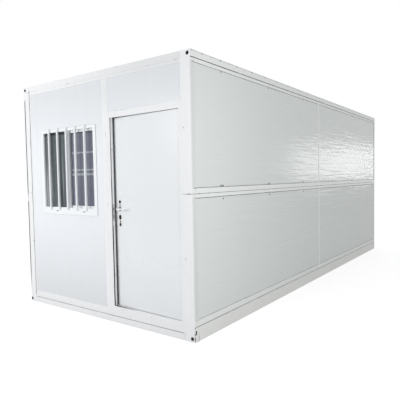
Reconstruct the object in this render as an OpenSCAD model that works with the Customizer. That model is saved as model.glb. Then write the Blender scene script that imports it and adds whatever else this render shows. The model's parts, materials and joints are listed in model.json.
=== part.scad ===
// Folding container house with one window and one door in its front end wall.
// A base frame and a roof frame carry side walls that fold at mid-height, and
// the two end walls stand between the split corner posts.
// X runs across the width, Y runs along the length with the front at -Y, Z is up.
// The origin is the middle of the footprint, on the ground.

/* [Overall size] */
// Outside width across the end walls
body_w = 2450; // [2400:10:3000]
// Outside length along the side walls
body_l = 5800; // [4800:20:7200]
// Outside height from the ground to the top of the roof frame
body_h = 2500; // [2400:10:3000]
// Height of the fold line in the side walls and the corner posts
fold_z = 1285; // [1100:5:1550]

/* [Base frame] */
// Height of the beams under the side walls
base_side_h = 130; // [120:2:170]
// Height of the beams under the end walls
base_end_h = 65; // [52:1:80]
// Thickness of the side beams of both frames
side_beam_t = 60; // [48:1:72]
// Number of joists under the floor
joist_count = 11; // [9:1:15]
// Width of one joist
joist_w = 50; // [40:1:60]
// Height of one joist
joist_h = 90; // [60:1:96]
// Thickness of the floor board
floor_t = 18; // [12:1:24]

/* [Roof frame] */
// Height of the roof beams
roof_beam_h = 63; // [56:1:76]
// Number of purlins under the roof sheet
purlin_count = 11; // [9:1:15]
// Width of one purlin
purlin_w = 40; // [30:1:60]
// Depth of the roof sheet's top below the top of the roof beams
sheet_drop = 4; // [2:1:8]
// Height of the ribs on the roof sheet
rib_h = 16; // [10:1:20]
// Width of a rib at its foot
rib_foot_w = 85; // [70:1:100]
// Width of a rib at its top
rib_top_w = 57; // [45:1:66]
// Number of ribs on the roof sheet
rib_count = 24; // [12:1:32]
// Thickness of the roof sheet
sheet_t = 2; // [1:0.5:3]
// Thickness of the insulated ceiling panel
ceiling_t = 40; // [30:1:50]

/* [Corner posts and blocks] */
// Width of a corner post seen from the end
post_w = 110; // [95:1:132]
// Depth of a corner post seen from the side, also the end wall's depth
post_d = 60; // [56:1:72]
// Radius of each post's outer corner
post_r = 14; // [8:1:20]
// Diameter of the lifting hole in each corner block
lift_hole_d = 34; // [26:1:38]
// Distance of the lifting hole from the block's outer edges
lift_hole_inset = 30; // [26:1:36]
// Width of the lashing slot in the side of each base corner block
lash_slot_w = 18; // [14:1:24]
// Height of that lashing slot
lash_slot_h = 40; // [30:1:44]
// Height of the lashing slot's middle above the ground
lash_slot_z = 84; // [76:1:90]
// Distance of the lashing slot's middle from the end of the house
lash_slot_inset = 19; // [15:1:30]
// Depth of the lashing slot
lash_slot_depth = 22; // [15:1:28]

/* [Side walls] */
// Thickness of the sandwich panels in all four walls
panel_t = 50; // [42:1:60]
// Distance of the side panels behind the face of their rails
side_recess = 3; // [2:0.5:5]
// Gap between the two halves along the fold line
fold_gap = 3; // [2:0.5:6]
// Height of the rail at the top of the upper half
top_rail_h = 35; // [28:1:42]
// Height of the rail at the bottom of the upper half
upper_fold_rail_h = 48; // [40:1:56]
// Height of the rail at the top of the lower half
lower_fold_rail_h = 34; // [28:1:40]
// Height of the rail at the bottom of the lower half
bottom_rail_h = 57; // [48:1:68]
// Width of the strip between the two panels of a half
side_mullion_w = 28; // [20:1:36]
// Radius of the rails' long edges
rail_r = 3; // [2:0.5:5]
// Height of the shadow gap above and below the side walls
shadow_gap_h = 4; // [3:0.5:6]
// Depth of the shadow gap
shadow_gap_d = 12; // [8:1:16]
// Distance of the first fold hinge from the middle of the wall
hinge_start = 550; // [300:10:700]
// Distance of the last fold hinge from the end of the wall
hinge_end = 400; // [200:10:500]
// Number of fold hinges on each panel
hinge_count = 3; // [2:1:3]
// Length of one fold hinge
hinge_l = 100; // [60:5:120]
// Diameter of a fold hinge's knuckle
hinge_d = 14; // [10:1:18]

/* [End walls] */
// Height of the rail at the bottom of an end wall
end_bottom_rail_h = 71; // [60:1:84]
// Height of the rail at the top of an end wall
end_top_rail_h = 32; // [26:1:40]
// Width of the stiles beside the posts
stile_w = 23; // [20:1:32]
// Width of the post between the window bay and the door bay, above the door
mullion_w = 85; // [70:1:100]
// Distance of that post from the doorway's left edge
mullion_gap = 35; // [20:1:45]
// Distance of the end panels behind the face of their frame
end_recess = 2; // [1:0.5:4]

/* [Door] */
// Clear width of the doorway
doorway_w = 857; // [710:1:900]
// Height of the doorway's underside above the ground
threshold_z = 165; // [155:1:180]
// Height of the doorway's head above the ground
doorway_top_z = 2023; // [1800:1:2060]
// Face width of the door frame's left jamb
left_jamb_w = 72; // [60:1:80]
// Face height of the door frame's header
header_h = 57; // [46:1:70]
// Depth of the visible reveal in front of the door stop
reveal_d = 27; // [22:1:32]
// Width of the door stop
stop_w = 12; // [10:1:14]
// Running gap around the door leaf
door_gap = 5; // [5:0.5:6]
// How far the door leaf stands open at rest, in degrees
door_ajar = 2.7; // [0:0.1:10]
// Distance of the closed leaf behind the wall's face
leaf_set_back = 2; // [1:0.5:4]
// Width of the bevel on the leaf's free edge
edge_bevel_w = 24; // [16:1:28]
// Depth of the bevel on the leaf's free edge
edge_bevel_d = 4; // [2:0.5:6]
// Diameter of a door hinge's knuckle
door_hinge_d = 16; // [14:1:18]
// Length of one door hinge
door_hinge_l = 120; // [90:3:150]
// Distance of the upper and lower hinge from the leaf's ends
door_hinge_inset = 210; // [150:5:260]

/* [Lock] */
// Width of the lock plate
lock_plate_w = 44; // [36:1:50]
// Height of the lock plate
lock_plate_h = 264; // [210:1:280]
// Thickness of the lock plate
lock_plate_t = 4; // [3:0.5:5]
// Height of the lock plate's lower end above the ground
lock_plate_z = 958; // [900:1:1000]
// Distance of the lock's centre line from the leaf's free edge
backset = 65; // [55:1:75]
// Length of the lever arm
lever_l = 112; // [95:1:130]
// Height of the lever above the plate's lower end
lever_rise = 172; // [138:1:200]
// Distance of the key cylinder below the lever
cylinder_drop = 72; // [64:1:92]

/* [Window] */
// Outside width of the window frame
window_w = 918; // [860:2:960]
// Outside height of the window frame
window_h = 924; // [700:1:1150]
// Height of the window frame's lower edge above the ground
window_z = 1053; // [900:1:1100]
// Distance of the window's middle from the left stile
window_from_stile = 650; // [600:1:690]
// Distance by which the window frame stands proud of the wall
window_proud = 8; // [5:0.5:10]
// Width of the window frame's flange over the panel
flange_w = 12; // [8:1:16]
// Face width of the window frame at its sides
window_face = 40; // [34:1:46]
// Face height of the window frame's head
window_head_face = 27; // [25:1:36]
// Face height of the window frame's sill
sill_face = 73; // [62:1:88]
// Face width of a sash's outer stile and rails
sash_face = 16; // [13:1:20]
// Face width of the stiles that meet in the middle
meeting_face = 36; // [30:1:44]
// Extra face width of the inner sash's outer stile and rails
inner_extra = 20; // [12:1:28]
// Thickness of one sash
sash_t = 22; // [18:1:24]
// Thickness of the glass
glass_t = 5; // [4:0.5:6]
// Number of guard bars
bar_count = 5; // [3:1:7]
// Distance between the middles of neighbouring guard bars
bar_pitch = 150; // [100:1:152]
// Width of one guard bar
bar_w = 20; // [16:1:25]
// Thickness of one guard bar
bar_t = 18; // [12:1:20]

/* [Hidden] */

// Smooth circles for holes, arcs and pins
$fn = 40;
// Small distance by which a cut runs past the face that it opens
eps = 1;

// Outer faces and inner faces, from the middle of the house
half_w = body_w / 2;
half_l = body_l / 2;
beam_in = half_w - side_beam_t;
post_in = half_w - post_w;
end_in = half_l - post_d;
roof_z = body_h - roof_beam_h;

// Side walls
rail_t = panel_t + side_recess;
strip_r = 1;
rail_in = half_w - rail_t;
upper_z = fold_z + fold_gap / 2;
lower_z = fold_z - fold_gap / 2;

// Where the ceiling meets the walls
ceiling_x = min(beam_in, rail_in);
ceiling_y = min(end_in, half_l - end_recess - panel_t);

// Floor and roof
joist_z = base_side_h - floor_t - joist_h;
sheet_z = body_h - sheet_drop - rib_h - sheet_t;
purlin_h = sheet_z - roof_z;

// Front wall, measured in its own plane
wall_y = -half_l;
sill_top = base_end_h + end_bottom_rail_h;
head_z = roof_z - end_top_rail_h;
door_right = post_in - stile_w;
door_left = door_right - doorway_w;
jamb_left = door_left - left_jamb_w;
mullion_right = door_left - mullion_gap;
mullion_left = mullion_right - mullion_w;
stile_right = -post_in + stile_w;
header_top = doorway_top_z + header_h;

// Door leaf when it is closed
leaf_left = door_left + door_gap;
leaf_right = door_right - door_gap;
leaf_z = threshold_z + door_gap;
leaf_top = doorway_top_z - door_gap;
lip = stop_w;
seal_t = 3;
seal_w = 8;
lip_y = reveal_d + seal_t + door_gap;
knuckle_gap = 1;
hinge_x = door_right + stop_w - door_gap / 2;
hinge_y = wall_y + post_d + door_hinge_d / 2 + knuckle_gap;
door_hinge_z = [leaf_z + door_hinge_inset, (leaf_z + leaf_top) / 2,
  leaf_top - door_hinge_inset];
hinge_plate_t = 3;
hinge_plate_w = 34;
hinge_plate_gap = 2;
pin_d = 8;
pin_clearance = 0.05;

// Lock
lock_x = leaf_left + backset;
lever_z = lock_plate_z + lever_rise;
cylinder_z = lever_z - cylinder_drop;
plate_r = 8;
spindle_d = 12;
spindle_clearance = 1;
neck_l = 42;
lever_h = 17;
lever_t = 11;
lever_r = 3;
cylinder_d = 17;
cylinder_tongue_w = 10;
cylinder_h = 33;
cylinder_clearance = 0.2;
bolt_above = 755;
bolt_below = 481;
bolt_hole_d = 18;
bolt_hole_depth = 14;
strike_rise = 53;
strike_h = 165;
strike_t = 2;
cylinder_out = 3;

// Window
window_x = stile_right + window_from_stile;
hole_w = window_w - 2 * flange_w;
window_setback = 6;
window_d = post_d - window_setback;
light_w = window_w - 2 * window_face;
light_low = window_z + sill_face;
light_high = window_z + window_h - window_head_face;
track_gap = 2;
track_play = 0.3;
sash_show = 4;
groove_wall = 2;
groove = min(sash_face - sash_show, window_head_face - flange_w - groove_wall);
sash_inset = 1;
sash_w = light_w / 2 + meeting_face / 2 + groove;
bar_rise = 48;
bar_low = window_z + bar_rise;
bar_over = 8;
bar_r = 2;
drain_slot_w = 45;
drain_slot_h = 7;
drain_slot_d = 5;
drain_slot_rise = 33;
drain_slot_x = [-199, 251];

function across(i, count, low, high) = low + (high - low) * i / (count - 1);

// A flat shape with rounded corners
module rounded_shape(w, h, r) {
  translate([r, 0]) square([w - 2 * r, h]);
  translate([0, r]) square([w, h - 2 * r]);
  for (x = [r, w - r], y = [r, h - r]) translate([x, y]) circle(r = r);
}

// Rolled bars from corner p to corner q, with their long edges rounded
module bar_x(p, q, r) {
  translate(p) rotate([90, 0, 90])
    linear_extrude(height = q.x - p.x) rounded_shape(q.y - p.y, q.z - p.z, r);
}

module bar_y(p, q, r) {
  translate([p.x, p.y, q.z]) rotate([-90, 0, 0])
    linear_extrude(height = q.y - p.y) rounded_shape(q.x - p.x, q.z - p.z, r);
}

module bar_z(p, q, r) {
  translate(p)
    linear_extrude(height = q.z - p.z) rounded_shape(q.x - p.x, q.y - p.y, r);
}

// A plain box from corner p to corner q
module block(p, q) {
  translate(p) cube(q - p);
}

// The same thing on the right side and mirrored to the left side
module on_left() {
  mirror([1, 0, 0]) children();
}

module both_ends() {
  children();
  mirror([0, 1, 0]) children();
}

module four_quarters() {
  both_ends() children();
  on_left() both_ends() children();
}

// ---- base frame ----

module side_beam(z0, z1) {
  bar_y([beam_in, -end_in, z0], [half_w, end_in, z1], rail_r);
}

module end_beam(z0, z1) {
  bar_x([-post_in, -half_l, z0], [post_in, -end_in, z1], rail_r);
}

module base_side_beam_right() {
  color("gainsboro") side_beam(0, base_side_h);
}

module base_side_beam_left() {
  color("gainsboro") on_left() side_beam(0, base_side_h);
}

module base_end_beam_front() {
  color("gainsboro") end_beam(0, base_end_h);
}

module base_end_beam_back() {
  color("gainsboro") mirror([0, 1, 0]) end_beam(0, base_end_h);
}

// Post section at the near right corner, with a wide radius on its outer corner
module post(z0, z1) {
  intersection() {
    bar_z([post_in, -half_l, z0], [half_w, -end_in, z1], rail_r);
    translate([post_in, -half_l, z0]) linear_extrude(height = z1 - z0) {
      square([post_w - post_r, post_d]);
      translate([0, post_r]) square([post_w, post_d - post_r]);
      translate([post_w - post_r, post_r]) circle(r = post_r);
    }
  }
}

// Block at the near right corner; the lifting hole runs through it along Y
module corner_block(z0, z1, hole_z) {
  difference() {
    post(z0, z1);
    translate([half_w - lift_hole_inset, -half_l - eps, hole_z]) rotate([-90, 0, 0])
      cylinder(d = lift_hole_d, h = post_d + 2 * eps);
  }
}

// Upright slot with round ends in the block's side face
module lash_slot() {
  straight = lash_slot_h - lash_slot_w;
  reach = lash_slot_depth + eps;
  translate([half_w - lash_slot_depth, -half_l + lash_slot_inset, lash_slot_z]) {
    for (end = [-1, 1]) translate([0, 0, end * straight / 2]) rotate([0, 90, 0])
      cylinder(d = lash_slot_w, h = reach);
    translate([0, -lash_slot_w / 2, -straight / 2]) cube([reach, lash_slot_w, straight]);
  }
}

module base_corner_blocks() {
  color("whitesmoke") four_quarters() difference() {
    corner_block(0, base_side_h, lift_hole_inset);
    lash_slot();
  }
}

module floor_joists() {
  color("silver") for (i = [0:joist_count - 1]) {
    y = across(i, joist_count, -end_in + joist_w / 2, end_in - joist_w / 2);
    block([-beam_in, y - joist_w / 2, joist_z], [beam_in, y + joist_w / 2, joist_z + joist_h]);
  }
}

module floor_board() {
  color("burlywood")
    block([-beam_in, -end_in, base_side_h - floor_t], [beam_in, end_in, base_side_h]);
}

// ---- roof frame ----

module roof_side_beam_right() {
  color("gainsboro") side_beam(roof_z, body_h);
}

module roof_side_beam_left() {
  color("gainsboro") on_left() side_beam(roof_z, body_h);
}

module roof_end_beam_front() {
  color("gainsboro") end_beam(roof_z, body_h);
}

module roof_end_beam_back() {
  color("gainsboro") mirror([0, 1, 0]) end_beam(roof_z, body_h);
}

module roof_corner_blocks() {
  color("whitesmoke") four_quarters()
    corner_block(roof_z, body_h, body_h - lift_hole_inset);
}

module roof_purlins() {
  color("silver") for (i = [0:purlin_count - 1]) {
    y = across(i, purlin_count, -end_in + purlin_w / 2, end_in - purlin_w / 2);
    block([-beam_in, y - purlin_w / 2, roof_z], [beam_in, y + purlin_w / 2, roof_z + purlin_h]);
  }
}

module roof_sheet() {
  color("lightgray")
    block([-beam_in, -end_in, sheet_z], [beam_in, end_in, sheet_z + sheet_t]);
}

// Ribs across the house, at an even pitch along it
module roof_ribs() {
  rib_pitch = 2 * end_in / rib_count;
  foot = rib_foot_w / 2;
  top = rib_top_w / 2;
  color("lightgray") for (i = [0:rib_count - 1])
    translate([-beam_in, (i + 0.5) * rib_pitch - end_in, sheet_z + sheet_t])
      rotate([90, 0, 90]) linear_extrude(height = 2 * beam_in)
        polygon([[-foot, 0], [foot, 0], [top, rib_h], [-top, rib_h]]);
}

module ceiling_panel() {
  color("white")
    block([-ceiling_x, -ceiling_y, roof_z - ceiling_t], [ceiling_x, ceiling_y, roof_z]);
}

// ---- side walls ----

// Posts, rails and middle strip of one half of the right wall
module half_frame(z0, z1, low_rail_h, high_rail_h) {
  both_ends() post(z0, z1);
  bar_y([rail_in, -end_in, z0], [half_w, end_in, z0 + low_rail_h], rail_r);
  bar_y([rail_in, -end_in, z1 - high_rail_h], [half_w, end_in, z1], rail_r);
  bar_z([rail_in, -side_mullion_w / 2, z0 + low_rail_h],
    [half_w, side_mullion_w / 2, z1 - high_rail_h], strip_r);
}

// Cut along the outer edge of a rail, where the wall meets a beam
module shadow_gap(z0) {
  block([half_w - shadow_gap_d, -end_in, z0], [half_w + eps, end_in, z0 + shadow_gap_h]);
}

module half_panels(z0, z1) {
  both_ends() block([rail_in, -end_in, z0],
    [half_w - side_recess, -side_mullion_w / 2, z1]);
}

module upper_frame() {
  difference() {
    half_frame(upper_z, roof_z, upper_fold_rail_h, top_rail_h);
    shadow_gap(roof_z - shadow_gap_h);
  }
}

module lower_frame() {
  difference() {
    half_frame(base_side_h, lower_z, bottom_rail_h, lower_fold_rail_h);
    shadow_gap(base_side_h);
  }
}

module upper_panels() {
  half_panels(upper_z + upper_fold_rail_h, roof_z - top_rail_h);
}

module lower_panels() {
  half_panels(base_side_h + bottom_rail_h, lower_z - lower_fold_rail_h);
}

module right_upper_frame() {
  color("whitesmoke") upper_frame();
}

module right_lower_frame() {
  color("whitesmoke") lower_frame();
}

module left_upper_frame() {
  color("whitesmoke") on_left() upper_frame();
}

module left_lower_frame() {
  color("whitesmoke") on_left() lower_frame();
}

module right_upper_panels() {
  color("white") upper_panels();
}

module right_lower_panels() {
  color("white") lower_panels();
}

module left_upper_panels() {
  color("white") on_left() upper_panels();
}

module left_lower_panels() {
  color("white") on_left() lower_panels();
}

// One hinge on the inner face of the wall: a leaf on each rail and a knuckle between
module fold_hinge(y) {
  plate_t = 3;
  plate_margin = 4;
  plate_h = lower_fold_rail_h - plate_margin;
  knuckle_x = rail_in - hinge_d / 2;
  union() {
    block([rail_in - plate_t, y - hinge_l / 2, fold_z - plate_h],
      [rail_in, y + hinge_l / 2, fold_z + plate_h]);
    translate([knuckle_x, y - hinge_l / 2, fold_z]) rotate([-90, 0, 0])
      cylinder(d = hinge_d, h = hinge_l);
  }
}

module fold_hinges() {
  color("silver") for (i = [0:hinge_count - 1])
    four_quarters() fold_hinge(across(i, hinge_count, hinge_start, end_in - hinge_end));
}

// ---- front wall ----

module front_wall_frame() {
  color("whitesmoke") {
    bar_x([-post_in, wall_y, base_end_h], [post_in, -end_in, sill_top], rail_r);
    bar_x([-post_in, wall_y, head_z], [post_in, -end_in, roof_z], rail_r);
    bar_z([-post_in, wall_y, sill_top], [stile_right, -end_in, head_z], rail_r);
    bar_z([mullion_left, wall_y, sill_top], [jamb_left, -end_in, header_top], rail_r);
    bar_z([mullion_left, wall_y, header_top], [mullion_right, -end_in, head_z], rail_r);
  }
}

module front_window_panel() {
  face_y = wall_y + end_recess;
  color("white") difference() {
    block([stile_right, face_y, sill_top], [mullion_left, face_y + panel_t, head_z]);
    block([window_x - hole_w / 2, face_y - eps, window_z + flange_w],
      [window_x + hole_w / 2, face_y + panel_t + eps, window_z + window_h - flange_w]);
  }
}

module front_door_head_panel() {
  face_y = wall_y + end_recess;
  color("white")
    block([mullion_right, face_y, header_top], [post_in, face_y + panel_t, head_z]);
}

// ---- door frame ----

module door_frame() {
  color("whitesmoke") difference() {
    union() {
      block([jamb_left, wall_y, sill_top], [door_left, -end_in, header_top]);
      block([door_right, wall_y, sill_top], [post_in, -end_in, header_top]);
      block([door_left, wall_y, doorway_top_z], [door_right, -end_in, header_top]);
      block([door_left, wall_y, sill_top], [door_right, -end_in, threshold_z]);
    }
    // Rebate behind the stop, at both jambs and the head
    block([door_left - stop_w, wall_y + reveal_d, threshold_z],
      [door_right + stop_w, -end_in + eps, doorway_top_z + stop_w]);
    // Holes for the upper and the lower bolt, in the left reveal
    for (z = [lock_plate_z - bolt_below, lock_plate_z + bolt_above])
      translate([door_left - bolt_hole_depth, wall_y + reveal_d / 2, z]) rotate([0, 90, 0])
        cylinder(d = bolt_hole_d, h = bolt_hole_depth + eps);
    // Seat of the strike plate
    strike_block(eps);
  }
}

// Volume of the strike plate, let into the left reveal; past opens its seat
module strike_block(past) {
  margin = 2;
  low_z = lock_plate_z + strike_rise;
  block([door_left - strike_t, wall_y + margin, low_z],
    [door_left + past, wall_y + reveal_d - margin, low_z + strike_h]);
}

module strike_plate() {
  color("dimgray") strike_block(0);
}

module door_seal() {
  y0 = wall_y + reveal_d;
  y1 = y0 + seal_t;
  inset = (stop_w - seal_w) / 2;
  out_left = door_left - stop_w + inset;
  out_right = door_right + stop_w - inset;
  out_top = doorway_top_z + stop_w - inset;
  color("black") {
    block([out_left, y0, threshold_z], [out_left + seal_w, y1, out_top]);
    block([out_right - seal_w, y0, threshold_z], [out_right, y1, out_top]);
    block([out_left, y0, out_top - seal_w], [out_right, y1, out_top]);
  }
}

// ---- door leaf, drawn closed and then turned to where it stands ----

module ajar() {
  translate([hinge_x, hinge_y, 0]) rotate([0, 0, -door_ajar])
    translate([-hinge_x, -hinge_y, 0]) children();
}

// Round hole or pin across the leaf on the lock's centre line
module across_leaf(d, y0, y1, z) {
  translate([lock_x, y0, z]) rotate([-90, 0, 0]) cylinder(d = d, h = y1 - y0);
}

// Key cylinder's section: a round core with a narrow tongue below, grown by c
module cylinder_section(y0, y1, c) {
  foot_z = cylinder_z + cylinder_d / 2 - cylinder_h + cylinder_tongue_w / 2;
  across_leaf(cylinder_d + 2 * c, y0, y1, cylinder_z);
  across_leaf(cylinder_tongue_w + 2 * c, y0, y1, foot_z);
  block([lock_x - cylinder_tongue_w / 2 - c, y0, foot_z],
    [lock_x + cylinder_tongue_w / 2 + c, y1, cylinder_z]);
}

// Holes for the lever's spindle and the key cylinder between y0 and y1
module lock_holes(y0, y1) {
  across_leaf(spindle_d + 2 * spindle_clearance, y0, y1, lever_z);
  cylinder_section(y0, y1, cylinder_clearance);
}

// Outline of the leaf seen from above, with the bevel on its free edge
module leaf_outline() {
  face = wall_y + leaf_set_back;
  polygon([[leaf_left, face + edge_bevel_d], [leaf_left + edge_bevel_w, face],
    [leaf_right, face], [leaf_right, -end_in], [leaf_left, -end_in]]);
}

module door_leaf() {
  face = wall_y + leaf_set_back;
  color("white") ajar() difference() {
    union() {
      translate([0, 0, leaf_z]) linear_extrude(height = leaf_top - leaf_z) leaf_outline();
      block([leaf_left - lip, wall_y + lip_y, leaf_z], [leaf_right + lip, -end_in, leaf_top + lip]);
    }
    lock_holes(face - eps, -end_in + eps);
  }
}

module lock_plates() {
  face = wall_y + leaf_set_back;
  color("silver") ajar() for (y0 = [face - lock_plate_t, -end_in]) difference() {
    bar_y([lock_x - lock_plate_w / 2, y0, lock_plate_z],
      [lock_x + lock_plate_w / 2, y0 + lock_plate_t, lock_plate_z + lock_plate_h], plate_r);
    lock_holes(y0 - eps, y0 + lock_plate_t + eps);
  }
}

module key_cylinder() {
  face = wall_y + leaf_set_back;
  reach = lock_plate_t + cylinder_out;
  color("dimgray") ajar() cylinder_section(face - reach, -end_in + reach, 0);
}

module lever_arm(y0) {
  bar_x([lock_x - lever_h / 2, y0, lever_z - lever_h / 2],
    [lock_x + lever_l - lever_h / 2, y0 + lever_t, lever_z + lever_h / 2], lever_r);
}

module door_lever() {
  face = wall_y + leaf_set_back;
  low = face - neck_l;
  high = -end_in + neck_l;
  color("silver") ajar() {
    across_leaf(spindle_d, low, high, lever_z);
    lever_arm(low - lever_t / 2);
    lever_arm(high - lever_t / 2);
  }
}

// ---- door hinges ----

// Knuckle between z0 and z1 on the hinge axis, with the bore for the pin
module knuckle(z0, z1) {
  translate([hinge_x, hinge_y, z0]) cylinder(d = door_hinge_d, h = z1 - z0);
}

module pin_bore(z0, z1) {
  translate([hinge_x, hinge_y, z0]) cylinder(d = pin_d + 2 * pin_clearance, h = z1 - z0);
}

// Frame half: two outer knuckles, their plate on the jamb, and the pin
module door_hinge_frame_halves() {
  third = door_hinge_l / 3;
  color("silver") for (z = door_hinge_z) {
    z0 = z - door_hinge_l / 2;
    for (k = [0, 2]) {
      knuckle(z0 + k * third, z0 + (k + 1) * third);
      block([hinge_x, -end_in, z0 + k * third],
        [hinge_x + hinge_plate_w, -end_in + hinge_plate_t, z0 + (k + 1) * third]);
    }
    translate([hinge_x, hinge_y, z0]) cylinder(d = pin_d, h = door_hinge_l);
    block([hinge_x + door_hinge_d / 2 + hinge_plate_gap, -end_in, z0],
      [hinge_x + hinge_plate_w, -end_in + hinge_plate_t, z0 + door_hinge_l]);
  }
}

// Leaf half: the middle knuckle and its plate on the leaf
module door_hinge_leaf_halves() {
  third = door_hinge_l / 3;
  color("silver") ajar() for (z = door_hinge_z) {
    z0 = z - door_hinge_l / 2 + third + knuckle_gap;
    z1 = z - door_hinge_l / 2 + 2 * third - knuckle_gap;
    difference() {
      union() {
        knuckle(z0, z1);
        block([hinge_x - hinge_plate_w, -end_in, z0], [hinge_x, -end_in + hinge_plate_t, z1]);
      }
      pin_bore(z0 - eps, z1 + eps);
    }
  }
}

// ---- window ----

// Front face of the window frame, which stands proud of the wall
window_y = wall_y + end_recess - window_proud;

// Front face of the sash in track k, counted from outside
function sash_y(k) = window_y + window_proud + sash_inset + k * (sash_t + track_gap);
// Left edge of the sash in track k; the left sash runs in the outer track
function sash_x(k) = window_x
  + (k == 0 ? -light_w / 2 - groove : light_w / 2 + groove - sash_w);
// Face widths of the sash in track k: left stile, right stile and rails
function left_stile(k) = k == 0 ? sash_face : meeting_face;
function right_stile(k) = k == 0 ? meeting_face : sash_face + inner_extra;
function rail_face(k) = sash_face + k * inner_extra;

module window_frame() {
  y1 = window_y + window_proud;
  slot_z = window_z + drain_slot_rise;
  color("white") difference() {
    union() {
      block([window_x - window_w / 2, window_y, window_z],
        [window_x + window_w / 2, y1, window_z + window_h]);
      block([window_x - hole_w / 2, window_y, window_z + flange_w],
        [window_x + hole_w / 2, window_y + window_d, window_z + window_h - flange_w]);
    }
    block([window_x - light_w / 2, window_y - eps, light_low],
      [window_x + light_w / 2, window_y + window_d + eps, light_high]);
    // Grooves that hold the two sashes
    for (k = [0, 1]) sash_groove(k);
    // Drain slots in the sill
    for (x = drain_slot_x)
      block([window_x + x - drain_slot_w / 2, window_y - eps, slot_z],
        [window_x + x + drain_slot_w / 2, window_y + drain_slot_d, slot_z + drain_slot_h]);
  }
}

module sash_groove(k) {
  block([window_x - light_w / 2 - groove, sash_y(k) - track_play, light_low - groove],
    [window_x + light_w / 2 + groove, sash_y(k) + sash_t + track_play, light_high + groove]);
}

module sash(k) {
  z0 = light_low - groove;
  z1 = light_high + groove;
  difference() {
    block([sash_x(k), sash_y(k), z0], [sash_x(k) + sash_w, sash_y(k) + sash_t, z1]);
    block([sash_x(k) + left_stile(k), sash_y(k) - eps, z0 + rail_face(k)],
      [sash_x(k) + sash_w - right_stile(k), sash_y(k) + sash_t + eps, z1 - rail_face(k)]);
  }
}

module window_sashes() {
  color("whitesmoke") for (k = [0, 1]) sash(k);
}

module window_glass() {
  color("lightblue") for (k = [0, 1])
    block([sash_x(k) + left_stile(k), sash_y(k) + (sash_t - glass_t) / 2,
        light_low - groove + rail_face(k)],
      [sash_x(k) + sash_w - right_stile(k), sash_y(k) + (sash_t + glass_t) / 2,
        light_high + groove - rail_face(k)]);
}

// Square bars whose ends stand on the face of the window frame
module window_guard() {
  first_x = window_x - (bar_count - 1) * bar_pitch / 2;
  color("white") for (i = [0:bar_count - 1]) {
    x = first_x + i * bar_pitch;
    bar_z([x - bar_w / 2, window_y - bar_t, bar_low],
      [x + bar_w / 2, window_y, window_z + window_h + bar_over], bar_r);
  }
}

// ---- back wall ----

module back_wall_frame() {
  color("whitesmoke") mirror([0, 1, 0]) {
    bar_x([-post_in, wall_y, base_end_h], [post_in, -end_in, sill_top], rail_r);
    bar_x([-post_in, wall_y, head_z], [post_in, -end_in, roof_z], rail_r);
    for (x = [-post_in, post_in - stile_w])
      bar_z([x, wall_y, sill_top], [x + stile_w, -end_in, head_z], rail_r);
    bar_z([-mullion_w / 2, wall_y, sill_top], [mullion_w / 2, -end_in, head_z], rail_r);
  }
}

module back_wall_panels() {
  face_y = wall_y + end_recess;
  color("white") mirror([0, 1, 0]) for (side = [0, 1]) mirror([side, 0, 0])
    block([mullion_w / 2, face_y, sill_top], [post_in - stile_w, face_y + panel_t, head_z]);
}

base_side_beam_left();
base_side_beam_right();
base_end_beam_front();
base_end_beam_back();
base_corner_blocks();
floor_joists();
floor_board();
roof_side_beam_left();
roof_side_beam_right();
roof_end_beam_front();
roof_end_beam_back();
roof_corner_blocks();
roof_purlins();
roof_sheet();
roof_ribs();
ceiling_panel();
right_upper_frame();
right_lower_frame();
left_upper_frame();
left_lower_frame();
right_upper_panels();
right_lower_panels();
left_upper_panels();
left_lower_panels();
fold_hinges();
front_wall_frame();
front_window_panel();
front_door_head_panel();
door_frame();
door_seal();
strike_plate();
door_hinge_frame_halves();
window_frame();
window_sashes();
window_glass();
window_guard();
back_wall_frame();
back_wall_panels();
door_leaf();
door_hinge_leaf_halves();
lock_plates();
key_cylinder();
door_lever();
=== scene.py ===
# %% [markdown]
# # A folding container house
# This lesson dresses a finished CAD model of a small steel house. The CAD model gives every
# beam, panel, window and door its exact place, and it is never moved here. Blender adds what
# steel, paint, rubber and glass look like, and the small hardware that CAD left out. The first
# cell loads the model and keeps its outer size. The frame's front lies as far from the middle as
# its back does, and only the window guard stands before it.

import json
import math

import bmesh
import bpy
from mathutils import Matrix, Vector


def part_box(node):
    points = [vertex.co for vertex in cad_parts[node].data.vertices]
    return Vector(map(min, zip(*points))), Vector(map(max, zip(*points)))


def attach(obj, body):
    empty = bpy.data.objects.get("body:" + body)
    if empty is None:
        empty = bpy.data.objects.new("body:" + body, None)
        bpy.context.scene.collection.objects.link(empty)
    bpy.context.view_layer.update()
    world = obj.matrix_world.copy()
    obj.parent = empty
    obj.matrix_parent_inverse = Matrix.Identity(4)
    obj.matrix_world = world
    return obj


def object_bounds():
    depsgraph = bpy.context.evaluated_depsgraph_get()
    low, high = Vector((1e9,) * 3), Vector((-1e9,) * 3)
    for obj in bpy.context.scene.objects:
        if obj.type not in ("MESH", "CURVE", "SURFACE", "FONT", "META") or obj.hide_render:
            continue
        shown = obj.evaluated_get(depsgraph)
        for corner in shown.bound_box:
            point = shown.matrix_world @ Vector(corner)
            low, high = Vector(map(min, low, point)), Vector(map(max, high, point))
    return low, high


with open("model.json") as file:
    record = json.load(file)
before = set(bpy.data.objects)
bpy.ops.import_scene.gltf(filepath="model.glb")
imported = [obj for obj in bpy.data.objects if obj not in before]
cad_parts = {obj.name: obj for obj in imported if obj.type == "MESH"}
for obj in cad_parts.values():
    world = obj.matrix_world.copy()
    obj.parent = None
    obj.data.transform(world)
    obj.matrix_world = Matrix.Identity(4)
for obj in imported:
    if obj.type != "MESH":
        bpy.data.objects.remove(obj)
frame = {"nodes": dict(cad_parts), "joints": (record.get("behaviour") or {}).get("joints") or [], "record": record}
house_low, house_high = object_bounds()
front_plane = -house_high.y
print("nodes:", len(frame["nodes"]), "size:", [round(c, 3) for c in house_high - house_low])
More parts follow.
